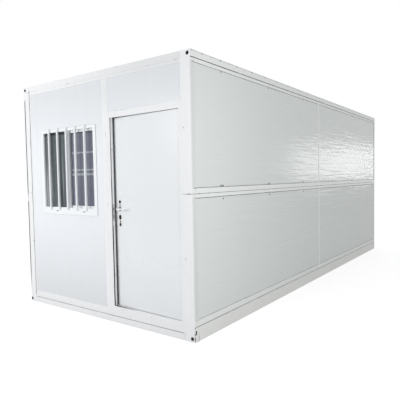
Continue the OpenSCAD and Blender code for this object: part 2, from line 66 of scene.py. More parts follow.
print("front of the frame at y", round(front_plane, 3), "window guard to y", round(house_low.y, 3))

# %% [markdown]
# ## The camera
# The viewer stands in front of the near right corner and looks along both walls. The camera's
# place is written as steps from that corner, and its three axes are worked out from a heading, a
# small dip and a slight roll. A matrix built from the axes needs no rotation order.

# %% Stand the camera by the near right corner
HEADING = math.radians(36.27)
DIP = math.radians(2.908)
ROLL = math.radians(-1.029)
STEPS_FROM_CORNER = Vector((2.2115, -2.9087, 1.4201))
SENSOR_WIDTH = 36
FOCAL_LENGTH = 38.89


def look_matrix(place, heading, dip, roll):
    """Camera matrix: heading turns left from straight ahead, dip looks down, roll leans."""
    ahead = Vector((-math.sin(heading), math.cos(heading), 0)) * math.cos(dip)
    ahead.z = -math.sin(dip)
    level = ahead.cross(Vector((0, 0, 1))).normalized()
    upright = level.cross(ahead)
    right = level * math.cos(roll) + upright * math.sin(roll)
    top = upright * math.cos(roll) - level * math.sin(roll)
    matrix = Matrix((right, top, -ahead)).transposed().to_4x4()
    matrix.translation = place
    return matrix


eye = Vector((house_high.x, front_plane, 0)) + STEPS_FROM_CORNER
camera = bpy.data.objects.new("viewer", bpy.data.cameras.new("viewer"))
camera.matrix_world = look_matrix(eye, HEADING, DIP, ROLL)
camera.data.sensor_width = SENSOR_WIDTH
camera.data.lens = FOCAL_LENGTH
bpy.context.scene.collection.objects.link(camera)
bpy.context.scene.camera = camera
print("camera at", [round(c, 2) for c in eye])

# %% [markdown]
# ## Shader sums written as Python
# A finish is a network of small nodes. Wiring them by hand is long, so one small class wraps a
# node's output and lets Python's own signs add the Math nodes: `1 - mask * 0.2` makes two of
# them. One more method makes any other node. The same class builds Geometry Nodes trees later,
# because both kinds of tree are wired alike.

# %% A strand of a node tree
class Strand:
    """One output socket. Arithmetic on it adds Math nodes, and node() adds any other node."""

    def __init__(self, tree, socket=None):
        self.tree = tree
        self.socket = socket

    def node(self, kind, settings=None, inputs=None, output=0):
        """Adds a node: its settings first, then a value or a strand for each input."""
        made = self.tree.nodes.new(kind)
        for name, value in (settings or {}).items():
            setattr(made, name, value)
        for name, value in (inputs or {}).items():
            entry = made.inputs[name]
            if isinstance(value, Strand):
                self.tree.links.new(value.socket, entry)
            else:
                entry.default_value = value
        return Strand(self.tree, made.outputs[output])

    def sum(self, operation, first, second=0.0):
        """Adds one Math node."""
        return self.node("ShaderNodeMath", {"operation": operation}, {0: first, 1: second})

    def __add__(self, other):
        return self.sum("ADD", self, other)

    def __sub__(self, other):
        return self.sum("SUBTRACT", self, other)

    def __rsub__(self, other):
        return self.sum("SUBTRACT", other, self)

    def __mul__(self, other):
        return self.sum("MULTIPLY", self, other)

    def __truediv__(self, other):
        return self.sum("DIVIDE", self, other)

    def __rtruediv__(self, other):
        return self.sum("DIVIDE", other, self)

    def __pow__(self, other):
        return self.sum("POWER", self, other)

    def __mod__(self, other):
        return self.sum("FLOORED_MODULO", self, other)

    def __abs__(self):
        return self.sum("ABSOLUTE", self)

    __radd__ = __add__
    __rmul__ = __mul__

    def least(self, other):
        """The smaller of two values."""
        return self.sum("MINIMUM", self, other)

    def most(self, other):
        """The larger of two values."""
        return self.sum("MAXIMUM", self, other)

    def rise(self, low, high, start=0.0, end=1.0):
        """Goes smoothly from start to end as this value goes from low to high."""
        places = {"Value": self, "From Min": low, "From Max": high, "To Min": start, "To Max": end}
        return self.node("ShaderNodeMapRange", {"interpolation_type": "SMOOTHSTEP"}, places)

    def fall(self, low, high):
        """Goes smoothly from 1 to 0 as this value goes from low to high."""
        return self.rise(low, high, 1.0, 0.0)

    def stretch(self, x, y, z):
        """Scales a place, so that a pattern on it shrinks along each axis by that much."""
        return self.node("ShaderNodeMapping", {}, {"Vector": self, "Scale": (x, y, z)})

    def noise(self, scale, detail=2.0, distortion=0.0):
        """Soft noise between 0 and 1. A larger scale makes it finer."""
        places = {"Vector": self, "Scale": scale, "Detail": detail, "Distortion": distortion}
        return self.node("ShaderNodeTexNoise", {}, places)

    def blend(self, colour, other):
        """Mixes two colours, with this value as the share of the second."""
        places = {0: self, 6: colour, 7: other}
        return self.node("ShaderNodeMix", {"data_type": "RGBA"}, places, 2)

    def bump(self, depth, strength=1.0, under=None):
        """Reads this value as a height of depth metres and gives the bent normal."""
        places = {"Height": self, "Distance": depth, "Strength": strength}
        if under is not None:
            places["Normal"] = under
        return self.node("ShaderNodeBump", {}, places)


print("a strand knows", len([name for name in dir(Strand) if not name.startswith("_")]), "named moves")

# %% [markdown]
# ### Colours from a chart
# Paint charts and colour pickers give red, green and blue from 0 to 255 on a scale that suits the
# eye. Shaders count light itself, so each number is turned into its share of full light first.

# %% A colour as shaders want it
def tone(red, green, blue):
    """A colour as written on a 0 to 255 chart, in the linear values that shaders use. The chart
    follows a power curve, with a short straight start for the darkest values."""
    linear = [((c / 255 + 0.055) / 1.055) ** 2.4 if c > 10 else c / 3295 for c in (red, green, blue)]
    return (*linear, 1.0)


print("white paint, linear:", [round(c, 3) for c in tone(243, 245, 246)[:3]])

# %% [markdown]
# ## Soft light all round
# A studio for a white product is mostly white: a bright world all round, one large soft lamp in
# front and a smaller one by the near side wall. These two light the house but are left out of
# its mirror images. A third small lamp stands high on the left and puts a sheen on the door. Two
# more stand beyond the far end and do the opposite of the first two: they show only as a mirror
# image in the glossy side wall, and what they shine on gets no light from them. Seen by the
# camera or through glass the world is plain white. Its light on the house is set lower, so that
# white paint still shows its shade.

# %% Build the studio
SKY_LIGHT = 0.69
KEY_LIGHT = 72
GLOW_LIGHT = 16
SIDE_LIGHT = 12
RIM_LIGHT = 1.8
FAR_LIGHT = 15

world = bpy.data.worlds.new("studio")
world.use_nodes = True
sky = world.node_tree.nodes["Background"]
rays = Strand(world.node_tree).node("ShaderNodeLightPath").socket.node.outputs
camera_ray = Strand(world.node_tree, rays["Is Camera Ray"])
glass_ray = Strand(world.node_tree, rays["Is Transmission Ray"])
brightness = camera_ray.most(glass_ray) * (1 - SKY_LIGHT) + SKY_LIGHT
sky.inputs["Color"].default_value = (1, 1, 1, 1)
world.node_tree.links.new(brightness.socket, sky.inputs["Strength"])
bpy.context.scene.world = world
bpy.context.scene.view_settings.view_transform = "Standard"


def softbox(name, place, target, size, watts, without=None):
    """A rectangular lamp at place that faces target. It gives none of its light to one kind of
    ray: without "glossy" it has no mirror image, without "diffuse" it has nothing else."""
    lamp = bpy.data.lights.new(name, "AREA")
    lamp.shape = "RECTANGLE"
    lamp.size = size[0]
    lamp.size_y = size[1]
    lamp.energy = watts
    stand = bpy.data.objects.new(name, lamp)
    aim = (Vector(target) - Vector(place)).to_track_quat("-Z", "Y")
    stand.matrix_world = Matrix.Translation(place) @ aim.to_matrix().to_4x4()
    stand.visible_camera = False
    stand.visible_glossy = without != "glossy"
    stand.visible_diffuse = without != "diffuse"
    bpy.context.scene.collection.objects.link(stand)
    print(name, size, "m,", watts, "W")


softbox("front_softbox", (-1.9, -7.2, 1.9), (-0.9, -2.9, 1.4), (2.4, 2.0), KEY_LIGHT, "glossy")
softbox("glow_softbox", (-2.56, -7.4, 2.5), (0.9, -2.9, 1.8), (0.7, 0.7), GLOW_LIGHT)
softbox("side_softbox", (3.1, -3.5, 1.65), (1.2, -2.7, 1.5), (0.9, 0.9), SIDE_LIGHT, "glossy")
softbox("rim_softbox", (2.72, 8.6, 1.80), (1.2, 2.8, 1.5), (0.2, 1.0), RIM_LIGHT, "diffuse")
softbox("far_softbox", (4.25, 8.6, 1.85), (1.2, 0.9, 1.5), (2.4, 1.15), FAR_LIGHT, "diffuse")

# %% [markdown] ### A pale floor One square, far larger than the house, is the floor. It is pale,
# keeps the soft shadow, and gets a little glow for the camera only, which takes it to white away
# from the house. It lies a millimetre low, so that it never shares a plane with the beams'
# undersides.

# %% Lay the floor
FLOOR_REACH = 80
FLOOR_GREY = 0.66
FLOOR_GLOW = 0.56

floor_mesh = bpy.data.meshes.new("floor")
signs = ((-1, -1), (1, -1), (1, 1), (-1, 1))
floor_corners = [(x * FLOOR_REACH, y * FLOOR_REACH, -0.001) for x, y in signs]
floor_mesh.from_pydata(floor_corners, [], [(0, 1, 2, 3)])
floor = bpy.data.objects.new("floor", floor_mesh)
bpy.context.scene.collection.objects.link(floor)
floor_finish = bpy.data.materials.new("pale_floor")
floor_finish.use_nodes = True
floor_tree = floor_finish.node_tree
floor_shader = floor_tree.nodes["Principled BSDF"]
floor_shader.inputs["Base Color"].default_value = (FLOOR_GREY, FLOOR_GREY, FLOOR_GREY, 1)
floor_shader.inputs["Roughness"].default_value = 0.9
floor_shader.inputs["Emission Color"].default_value = (1, 1, 1, 1)
seen = Strand(floor_tree).node("ShaderNodeLightPath")
floor_tree.links.new((seen * FLOOR_GLOW).socket, floor_shader.inputs["Emission Strength"])
floor_mesh.materials.append(floor_finish)
print("floor:", FLOOR_REACH * 2, "m square, grey", FLOOR_GREY, "glow", FLOOR_GLOW)

# %% [markdown]
# ## What all finishes share
# Every finish starts from the place on the house in metres, which Object coordinates give,
# because each CAD node sits at the origin. From that place come the marks that a real house
# collects: dust near the ground, pale streaks under the eaves, and bare edges. How near a point
# is to an edge of a box is the middle one of its three distances to the faces.

# %% A finish and its wear
class Finish:
    """A material with its main shader, and the place on the house split into x, y and z."""

    def __init__(self, name):
        self.material = bpy.data.materials.new(name)
        self.material.use_nodes = True
        self.tree = self.material.node_tree
        self.shader = self.tree.nodes["Principled BSDF"]
        place = Strand(self.tree).node("ShaderNodeTexCoord", output=3)
        self.place = place
        split = place.node("ShaderNodeSeparateXYZ", {}, {0: place}).socket.node
        self.x, self.y, self.z = [Strand(self.tree, socket) for socket in split.outputs]

    def set(self, **values):
        """Sets the shader's inputs, with _ for a space in their names, and gives the material."""
        for name, value in values.items():
            entry = self.shader.inputs[name.replace("_", " ")]
            if isinstance(value, Strand):
                self.tree.links.new(value.socket, entry)
            else:
                entry.default_value = value
        return self.material

    def edge(self, low, high):
        """Distance in metres to the nearest edge of the box from low to high."""
        faces = []
        for along, start, end in zip((self.x, self.y, self.z), low, high):
            faces.append(abs(along - (start + end) / 2) * -1 + (end - start) / 2)
        first, second, third = faces
        return first.least(second).most(first.most(second).least(third))

    def chips(self, low, high, width=0.003):
        """1 where paint is rubbed off along an edge, in short broken patches."""
        patches = self.place.noise(9, 4).rise(0.56, 0.68)
        ragged = self.edge(low, high) + self.place.noise(160, 3) * width
        return ragged.fall(width * 0.9, width * 1.4) * patches

    def dust(self, top=0.5):
        """1 at the ground, fading out at height top, broken up by splashes."""
        splash = self.place.noise(7, 5, 0.4) * 0.5 + self.place.noise(55, 3) * 0.25
        return (self.z / top + splash * 0.9).fall(0.35, 1.25)

    def streaks(self):
        """Faint upright rain streaks, from 0 to 1."""
        return self.place.stretch(26, 26, 0.7).noise(1.0, 4, 0.3).rise(0.45, 0.75)


def nodes_with(*slots):
    """Names of the CAD nodes that take one of these material slots."""
    return [part["node"] for part in frame["record"]["subparts"] if part["material_slot"] in slots]


probe = Finish("probe")
print("an edge distance takes", len(probe.tree.nodes), "nodes before", end=" ")
probe.edge(house_low, house_high)
print("and", len(probe.tree.nodes), "after")
bpy.data.materials.remove(probe.material)

# %% [markdown]
# ## Masks for the frame
# A mask is a value that is 1 where something shows and 0 elsewhere. The steel frame needs a few.
# The corner blocks have lifting holes and lashing slots, whose insides get painted shade. A
# distance from each hole's axis, read from the model's own record, finds them.

# %% Colours, joints and holes of the frame
WHITE = tone(246, 247, 249)
DUSTY = tone(196, 194, 188)
BARE_STEEL = tone(120, 122, 124)
# Painted shade: the side panels' tint, darker and greener than the end panels' of the same skin.
SIDE_SHADED_TINT = (236, 241, 240)
SLOT_ROW = 0.019
SLOT_HEIGHT = 0.084
SLOT_HALF_WIDTH = 0.0094
SLOT_HALF_HEIGHT = 0.0204
SOFT = 0.0002
bores = [mount for mount in frame["record"]["mounts"] if mount["kind"] == "bore"]
side_joints = (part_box("roof_side_beam_right")[0].z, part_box("base_side_beam_right")[1].z)
front_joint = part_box("base_end_beam_front")[1].z


def hole_mask(finish):
    """1 inside the lifting holes and the lashing slots of the corner blocks."""
    hole = bores[0]
    wide = hole["dims"]["r_mm"] / 1000
    across = abs(finish.x) - abs(hole["pos_m"][0])
    half = house_high.z / 2
    up = abs(finish.z - half) - (half - min(mount["pos_m"][2] for mount in bores))
    bore = ((across * across + up * up) ** 0.5).fall(wide, wide + 0.0006)
    behind_end = abs(finish.y).fall(house_high.y - 8 * SOFT, house_high.y - 2 * SOFT)
    along = abs(abs(finish.y) - (house_high.y - SLOT_ROW))
    along = along.fall(SLOT_HALF_WIDTH - SOFT, SLOT_HALF_WIDTH + SOFT)
    tall = abs(finish.z - SLOT_HEIGHT).fall(SLOT_HALF_HEIGHT - SOFT, SLOT_HALF_HEIGHT + SOFT)
    behind_side = abs(finish.x).fall(house_high.x - 8 * SOFT, house_high.x - 2 * SOFT)
    return (bore * behind_end).most(along * tall * behind_side)


def near_height(finish, height, half):
    """1 on a level line at this height, half its width above and below."""
    return abs(finish.z - height).fall(half * 0.8, half * 1.2)


print("white:", [round(c, 3) for c in WHITE[:3]], "holes:", len(bores))
print("side joints at", [round(z, 3) for z in side_joints], "front joint at", round(front_joint, 3))

# %% [markdown]
# ### Lines across the posts, rivets along the roof
# Joints between parts show as thin level lines. On the corner posts beside the side panels the
# sealant was smeared on over the steel, so there the lines go on past the panels' edges. There
# the post's side face also gets the side panels' painted shade, with its rail bands left white.
# Along the roof's rim a row of rivets repeats, every second one darker: the remainder of a
# division turns one rivet into the whole row.

# %% Smeared sealant and rim rivets
POST_DEPTH = 0.060
RIVET_SPANS = 20
RIVET_START = 0.026
RIVET_DROP = 0.010


def side_wall_lines(finish, colour, on_side):
    """Painted shade on the posts' side faces, and the wall's joints drawn on where sealant was smeared."""
    post_edge = house_high.y - POST_DEPTH
    on_post = abs(finish.y).rise(post_edge - SOFT, post_edge + SOFT) * on_side
    # Painted shade: the post's side face is set just below the side panels' shaded tint.
    colour = on_post.blend(colour, tone(*[c - 8 for c in SIDE_SHADED_TINT]))
    bands = []
    lines = []
    for level in ("lower", "upper"):
        low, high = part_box("right_" + level + "_panels")
        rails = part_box("right_" + level + "_frame")
        bands += [(rails[0].z, low.z), (high.z, rails[1].z)]
        lines += [low.z, high.z]
    rail = 0
    for low, high in bands:
        rail = near_height(finish, (low + high) / 2, (high - low) / 2).most(rail)
    colour = (rail * on_post).blend(colour, tone(246, 247, 245))
    reach = abs(finish.y).fall(house_high.y - 0.022, house_high.y - 0.012) * on_post
    smear = finish.place.noise(9, 4).rise(0.35, 0.6)
    for height in lines:
        colour = (near_height(finish, height, 0.0035) * reach * smear).blend(colour, BARE_STEEL)
    strip = abs(finish.y).fall(0.016, 0.018) * on_side
    return strip.blend(colour, tone(255, 255, 254))


def roof_rim_marks(finish, on_side, caught):
    """1 on the rivets along the roof's rim, every second one stronger, and faint on the rim."""
    pitch = house_high.y / RIVET_SPANS
    step = (finish.y + house_high.y - RIVET_START) / pitch + 0.5
    along = abs(step % 1.0 - 0.5) * pitch
    rivet = along.fall(0.005, 0.008) * near_height(finish, house_high.z - RIVET_DROP, 0.006)
    strong = (step % 2.0).rise(0.9, 1.1, 0.4, 0.95)
    rim = finish.z.rise(house_high.z - 0.009, house_high.z - 0.006) * caught * 0.45
    return (rivet * strong).most(rim * on_side)


print("rim rivets every", round(house_high.y / RIVET_SPANS * 1000), "mm")

# %% [markdown]
# ## White powder coat
# The beams, posts and rails are rolled steel with a baked white powder. Baked powder is smooth
# to the hand but has a fine orange peel, which a small noise in the normal gives. One function
# makes the coat for every node of the frame: white with dust and rain on it, a painted tint of
# light on the side faces, then the joints, dark with dirt and painted shade, then the marks that
# only some nodes have, among them more painted shade, and the edges where the paint is rubbed
# off. The corner blocks come last, with their knocks and painted shade inside their holes.

# %% Powder coat for the frame
def powder_coat(node):
    """White powder coat for one node of the frame."""
    finish = Finish("powder_coat_" + node)
    low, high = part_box(node)
    cloud = finish.place.noise(1.7, 3)
    white = cloud.blend(tone(243, 245, 247), WHITE)
    on_side = abs(finish.x).rise(house_high.x - 0.006, house_high.x - 0.001)
    in_front = finish.y.fall(front_plane + 0.001, front_plane + 0.003)
    # Painted light: the side face is tinted a touch greener, like the side panels.
    white = (on_side * 0.9).blend(white, tone(248, 252, 250))
    worn = finish.dust(0.3).least(1.0)
    colour = (worn * 0.10).blend(white, DUSTY)
    colour = (finish.streaks() * 0.06).blend(colour, DUSTY)

    if "_upper_frame" in node or "_lower_frame" in node:
        colour = side_wall_lines(finish, colour, on_side)
        # Painted shade up the outer arris of the left post, where its round edge turns away
        # from the light, broken in places.
        arris = abs(finish.x - house_low.x - 0.013).fall(0.012, 0.015)
        height = finish.z.rise(0.1, 0.4) * finish.z.fall(2.33, 2.38)
        broken = finish.place.stretch(1, 1, 3).noise(2.0, 3).rise(0.34, 0.44)
        colour = (arris * height * broken * in_front * 0.9).blend(colour, tone(40, 42, 44))

    # Dark lines in the joints between the beams and the walls, in patches: partly dirt, partly
    # painted shade in the gaps.
    caught = finish.place.noise(5, 5).rise(0.25, 0.5, 0.45, 0.95)
    for height in side_joints:
        joint = near_height(finish, height, 0.0042) * on_side * caught
        colour = joint.blend(colour, tone(74, 77, 77))
    # Along the front joint over the base beam too: partly dirt, partly painted shade.
    seam = near_height(finish, front_joint, 0.0032) * in_front
    seam = seam * abs(finish.x).fall(1.105, 1.112) * caught * 0.8
    colour = seam.blend(colour, tone(96, 98, 99))

    # Pale dried mud along the side beams. Painted shade: a faint grey over the front's
    # upper right.
    if node.startswith(("base_side", "base_corner")):
        soil = finish.place.stretch(1, 1, 3).noise(6, 6, 0.3).rise(0.45, 0.75)
        colour = (on_side * (0.35 + soil * 0.4)).blend(colour, tone(243, 241, 238))
    if "roof_end" in node or node in ("door_frame", "front_wall_frame"):
        painted_shade_high_right = (finish.x - 0.6 * finish.z).rise(-2.2, -0.7) * finish.z.rise(2.0, 2.3)
        colour = (painted_shade_high_right * 0.6).blend(colour, tone(226, 229, 231))
    if "roof" in node:
        colour = roof_rim_marks(finish, on_side, caught).blend(colour, tone(70, 71, 72))

    chips = finish.chips(low, high)
    colour = chips.blend(colour, BARE_STEEL)
    rough = 0.34 + cloud * 0.1 + worn * 0.25 + chips * 0.2
    peel = finish.place.noise(260, 2) + chips * -0.8
    if node == "base_corner_blocks":
        # Knocks on the upright edges, where forks and chains touch.
        worn_edge = finish.edge(low, high).fall(0.0065, 0.0085)
        arris = abs(finish.x).rise(house_high.x - 0.0065, house_high.x - 0.006)
        arris = arris * abs(finish.y).rise(house_high.y - 0.0115, house_high.y - 0.011)
        knocks = finish.place.stretch(1, 1, 4).noise(11, 3).rise(0.45, 0.53)
        colour = (worn_edge * arris * knocks).blend(colour, tone(62, 60, 58))
    if node.endswith("corner_blocks"):
        # Painted shade inside the lifting holes and the lashing slots.
        inside = hole_mask(finish)
        colour = inside.blend(colour, tone(110, 110, 112))
        rough = rough + inside * 0.5
    return finish.set(Base_Color=colour, Roughness=rough, Normal=peel.bump(0.0004, 0.35))


print("powder coat is for", len(nodes_with("frame_paint")), "nodes")

# %% [markdown]
# ## Glossy wall panels
# A sandwich panel is two thin prepainted steel skins on foam. The skin is glossier than powder
# coat, and it never lies quite flat: rolling and foaming leave long shallow waves, which show
# as wobbly bands when light grazes the wall. The waves are long along the wall and short up it.
# They go into the normal at a height of a millimetre or two. The end walls' skin lies flatter,
# and it gets painted shade, greyer towards top and foot.

# %% Skin of the wall panels
END_TINT = (245, 248, 252)


def panel_skin(node, tint, shade, wave):
    """Skin of one colour. shade is the painted shade towards top and foot, wave scales the waves."""
    finish = Finish("panel_skin_" + node)
    cloud = finish.place.noise(0.9, 3, 0.5)
    colour = cloud.blend(tone(*[c - 4 for c in tint]), tone(*tint))
    # Painted shade: greyer towards top and foot, as much as shade says.
    middle = abs(finish.z - 1.35).rise(0.25, 1.25)
    colour = (middle * shade).blend(colour, tone(198, 203, 206))
    worn = finish.dust(0.5).least(1.0)
    colour = (worn * 0.05).blend(colour, DUSTY)
    colour = (finish.streaks() * 0.035).blend(colour, DUSTY)
    scuffs = finish.place.stretch(1.5, 1.5, 14).noise(3.0, 6, 1.2).rise(0.66, 0.72)
    colour = (scuffs * 0.05).blend(colour, DUSTY)
    rough = 0.12 + cloud * 0.06 + worn * 0.08 + scuffs * 0.06
    swell = finish.place.stretch(0.8, 0.8, 7).noise(1.6, 2, 0.3)
    ripple = finish.place.stretch(0.6, 0.6, 14).noise(2.2, 2, 0.8)
    normal = ripple.bump(0.0032 * wave, 1.0, swell.bump(0.0030 * wave))
    normal = finish.place.noise(420, 1).bump(0.00005, 0.5, normal)
    return finish.set(Base_Color=colour, Roughness=rough, Normal=normal)


print("side skin:", SIDE_SHADED_TINT, "end skin:", END_TINT)

# %% [markdown]
# ## Door paint, window plastic and guard paint
# The door is pressed steel, painted with less peel than the frame and handled more, so it gets
# faint finger marks round the lock. Towards its foot it turns greyer in patches, partly dust and
# partly painted shade. The window is drawn plastic: even, slightly cool in tone and smooth. The
# guard is thin square tube with brushed-on paint.

# %% Finishes of the end wall's fittings
door_joint = next(joint for joint in frame["joints"] if joint["name"] == "door_hinge")
lever_joint = next(joint for joint in frame["joints"] if joint["name"] == "lever_pivot")


def door_paint(node):
    """Smooth paint with finger marks round the lever, greyer towards the foot: dust and painted shade."""
    finish = Finish("door_paint_" + node)
    low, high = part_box(node)
    cloud = finish.place.noise(1.3, 3)
    colour = cloud.blend(tone(238, 242, 244), tone(243, 246, 248))
    lever = lever_joint["pos_m"]
    handled = ((finish.x - lever[0]) ** 2 + (finish.z - lever[2]) ** 2) ** 0.5
    touched = handled.fall(0.05, 0.26) * finish.place.noise(30, 4).rise(0.45, 0.7)
    colour = (touched * 0.12).blend(colour, DUSTY)
    # Greyer towards the foot in patches: partly dust, partly painted shade.
    worn = finish.dust(0.9).least(1.0)
    colour = (worn * 0.16).blend(colour, tone(200, 203, 206))
    chips = finish.chips(low, high, 0.002)
    colour = chips.blend(colour, BARE_STEEL)
    rough = 0.2 + cloud * 0.08 + touched * 0.2 + worn * 0.2
    swell = finish.place.stretch(1, 1, 0.7).noise(1.8, 1).bump(0.0008)
    return finish.set(Base_Color=colour, Roughness=rough,
                      Normal=finish.place.noise(300, 2).bump(0.0002, 0.3, swell))


def window_plastic(node):
    """Even plastic with a little grime at its edges and fine upright lines."""
    finish = Finish("window_plastic_" + node)
    low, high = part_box(node)
    cloud = finish.place.noise(3, 3)
    grime = finish.edge(low, high).rise(0.0, 0.006, 0.25, 0.0) * finish.place.noise(40, 3)
    colour = grime.blend(cloud.blend(tone(246, 249, 252), tone(250, 252, 253)), DUSTY)
    drawn = finish.place.stretch(1, 1, 0.02).noise(900, 1).bump(0.00005, 0.4)
    return finish.set(Base_Color=colour, Roughness=0.3 + cloud * 0.08, Normal=drawn)


def guard_paint(node):
    """Brushed-on paint with a few small chips."""
    finish = Finish("guard_paint_" + node)
    brushed = finish.place.stretch(120, 120, 4).noise(1.0, 3)
    chips = finish.place.noise(70, 4).rise(0.7, 0.74)
    colour = (chips * 0.7).blend(brushed.blend(tone(238, 241, 245), tone(247, 249, 251)), BARE_STEEL)
    return finish.set(Base_Color=colour, Roughness=0.3 + brushed * 0.15,
                      Normal=brushed.bump(0.0003, 0.5))


print("lever at", lever_joint["pos_m"])

# %% [markdown]
# ## Glass
# Each sash holds one pane. Real float glass would need many light bounces to carry light into
# the room and back, so the pane is a thin dark-tinted layer that lets part of the view through
# and mirrors the rest at its surface. The outer pane has a layer of dust in upright laps. The
# inner pane is painted a paler, bluer tone and has three pale level bars, all painted reflections,
# since the studio holds nothing that it could mirror. Both panes are dark just under the head,
# a painted shadow of the head.

# %% Finish of the panes
# Each painted reflection bar's height as a share of the pane's, and half its width.
PAINTED_REFLECTION_BARS = ((0.711, 0.011), (0.488, 0.011), (0.431, 0.015))


def pane_glass(node):
    """Dark glass under a layer of dust, with painted reflections on the inner pane and painted shadow under the
    head.
    """
    finish = Finish("pane_glass")
    low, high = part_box(node)
    tall = (finish.z - low.z) / (high.z - low.z)
    inner_pane = finish.y.rise((low.y + high.y) / 2 - 0.001, (low.y + high.y) / 2 + 0.001)
    lap = finish.place.stretch(22, 22, 0.7).noise(1.6, 3, 0.5).rise(0.46, 0.60)
    lap = lap * tall.rise(0.2, 0.75, 1.0, 0.35)
    bar_wobble = finish.place.stretch(1.4, 1.4, 1).noise(2.2, 2) * 0.012
    dust_and_reflections = lap * (1 - inner_pane) * 0.55 + finish.place.noise(14, 5) * 0.12
    # Painted reflections: three pale level bars on the inner pane, wobbling a little.
    for height, half in PAINTED_REFLECTION_BARS:
        reflection_bar = abs(tall - height + bar_wobble - 0.006).fall(half * 0.6, half * 1.2)
        dust_and_reflections = dust_and_reflections + reflection_bar * inner_pane * 0.75
    # Painted shadow of the head, dark along the top of both panes.
    head_shadow = tall.rise(0.945, 0.985)
    # The inner pane's paler, bluer tone is a painted reflection.
    clear = inner_pane.blend(tone(88, 97, 99), tone(126, 130, 146))
    colour = dust_and_reflections.least(1.0).blend(clear, tone(190, 196, 202))
    colour = head_shadow.blend(colour, tone(26, 30, 34))
    return finish.set(Base_Color=colour, Alpha=0.8 + dust_and_reflections * 0.15, Roughness=0.04 + dust_and_reflections * 0.12,
                      Normal=finish.place.noise(1.5, 1).bump(0.0008))


# %% [markdown]
# ## Zinc and roof sheet
# Hot-dip zinc freezes in flat crystals, so the joists and purlins get a cell pattern in tone and
# roughness. The roof sheet is prepainted steel with dust in its valleys, which the height
# between the ribs finds, and long runs beside the ribs where rain carried the dust along.

# %% Finishes of the joists and the roof
def zinc(node):
    """Galvanised steel with its flat crystals and pale stains."""
    finish = Finish("zinc_" + node)
    cells = finish.place.node("ShaderNodeTexVoronoi", {}, {"Vector": finish.place, "Scale": 70}, 1)
    grey = cells.node("ShaderNodeRGBToBW", {}, {0: cells})
    colour = grey.blend(tone(176, 180, 182), tone(206, 209, 210))
    stain = finish.place.noise(6, 5).rise(0.6, 0.8)
    colour = (stain * 0.4).blend(colour, tone(214, 214, 208))
    return finish.set(Base_Color=colour, Metallic=0.85, Roughness=0.38 + grey * 0.15 + stain * 0.2)


def roof_paint(node):
    """Painted sheet with silt in its valleys and rain runs."""
    finish = Finish("roof_paint_" + node)
    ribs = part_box("roof_ribs")
    valley = finish.z.fall(ribs[0].z + 0.001, ribs[1].z - 0.002)
    silt = valley * finish.place.stretch(1, 3, 1).noise(2.6, 8, 0.2).rise(0.3, 0.8)
    colour = (silt * 0.5).blend(tone(232, 234, 236), tone(186, 181, 170))
    run = finish.place.stretch(0.5, 14, 1).noise(2.0, 5).rise(0.4, 0.8)
    colour = (run * 0.25).blend(colour, tone(196, 192, 182))
    dents = finish.place.noise(4, 2).bump(0.003, 0.6)
    return finish.set(Base_Color=colour, Roughness=0.35 + silt * 0.4,
                      Normal=finish.place.noise(200, 2).bump(0.0004, 0.4, dents))


ribs_low, ribs_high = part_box("roof_ribs")
print("valleys are", round((ribs_high.z - ribs_low.z) * 1000, 1), "mm deep")

# %% [markdown]
# ## Small metals
# Hinges and screws are zinc plated and tarnish in spots. The strike plate is dull steel, rubbed
# by the bolt. The lock plates and the lever are bright chrome with fine brushed lines. Their
# metallic value is kept low, so that they stay pale whatever the room around them mirrors. The
# key cylinder is dark nickel, worn paler in spots.

# %% Finishes of hinges and lock
def plated(node):
    """Zinc plate with tarnish spots."""
    finish = Finish("zinc_plate_" + node)
    tarnish = finish.place.noise(45, 5).rise(0.4, 0.8)
    colour = tarnish.blend(tone(196, 198, 200), tone(150, 150, 146))
    return finish.set(Base_Color=colour, Metallic=0.9, Roughness=0.3 + tarnish * 0.3,
                      Normal=finish.place.noise(300, 2).bump(0.0002, 0.4))


def dull_steel(node):
    """Grey steel, rubbed paler in streaks."""
    finish = Finish("dull_steel_" + node)
    rubbed = finish.place.stretch(60, 60, 6).noise(1.0, 4)
    colour = rubbed.blend(tone(196, 198, 200), tone(222, 224, 226))
    return finish.set(Base_Color=colour, Metallic=0.8, Roughness=0.34 + rubbed * 0.2,
                      Normal=rubbed.bump(0.0002, 0.4))


def bright_chrome(node):
    """Bright satin chrome with fine level lines and a few finger marks."""
    finish = Finish("bright_chrome_" + node)
    lines = finish.place.stretch(40, 40, 1400).noise(1.0, 2)
    marks = finish.place.noise(60, 4).rise(0.55, 0.75)
    colour = (marks * 0.15).blend(tone(252, 253, 254), tone(226, 228, 230))
    return finish.set(Base_Color=colour, Metallic=0.2, Roughness=0.24 + marks * 0.12,
                      Normal=lines.bump(0.00006, 0.4))


def dark_nickel(node):
    """Dark nickel, worn paler and warmer in spots."""
    finish = Finish("dark_nickel_" + node)
    worn = finish.place.noise(180, 4).rise(0.4, 0.7)
    colour = worn.blend(tone(62, 61, 59), tone(120, 116, 104))
    return finish.set(Base_Color=colour, Metallic=0.8, Roughness=0.3 + worn * 0.2)


small_metals = nodes_with("hinge_steel", "strike_steel", "lock_steel", "cylinder_brass")
print("small metals are for", small_metals)

# %% [markdown]
# ## Rubber and floor board
# Black rubber goes grey in patches as its wax comes to the surface. The floor is a fibre board
# laid in sheets of 1.22 m with open joints, and feet have trodden it greyer in places.

# %% Finishes of the seals and the floor
BOARD_WIDTH = 1.22


def black_rubber(node, fresh=22, aged=62, shine=0.5):
    """Rubber that greys from fresh to aged in patches."""
    finish = Finish("black_rubber_" + node)
    bloom = finish.place.noise(25, 5).rise(0.45, 0.8)
    colour = (bloom * 0.5).blend(tone(fresh, fresh, fresh + 1), tone(aged, aged, aged))
    return finish.set(Base_Color=colour, Specular_IOR_Level=shine, Roughness=0.6 + bloom * 0.25,
                      Normal=finish.place.noise(500, 2).bump(0.0002, 0.5))


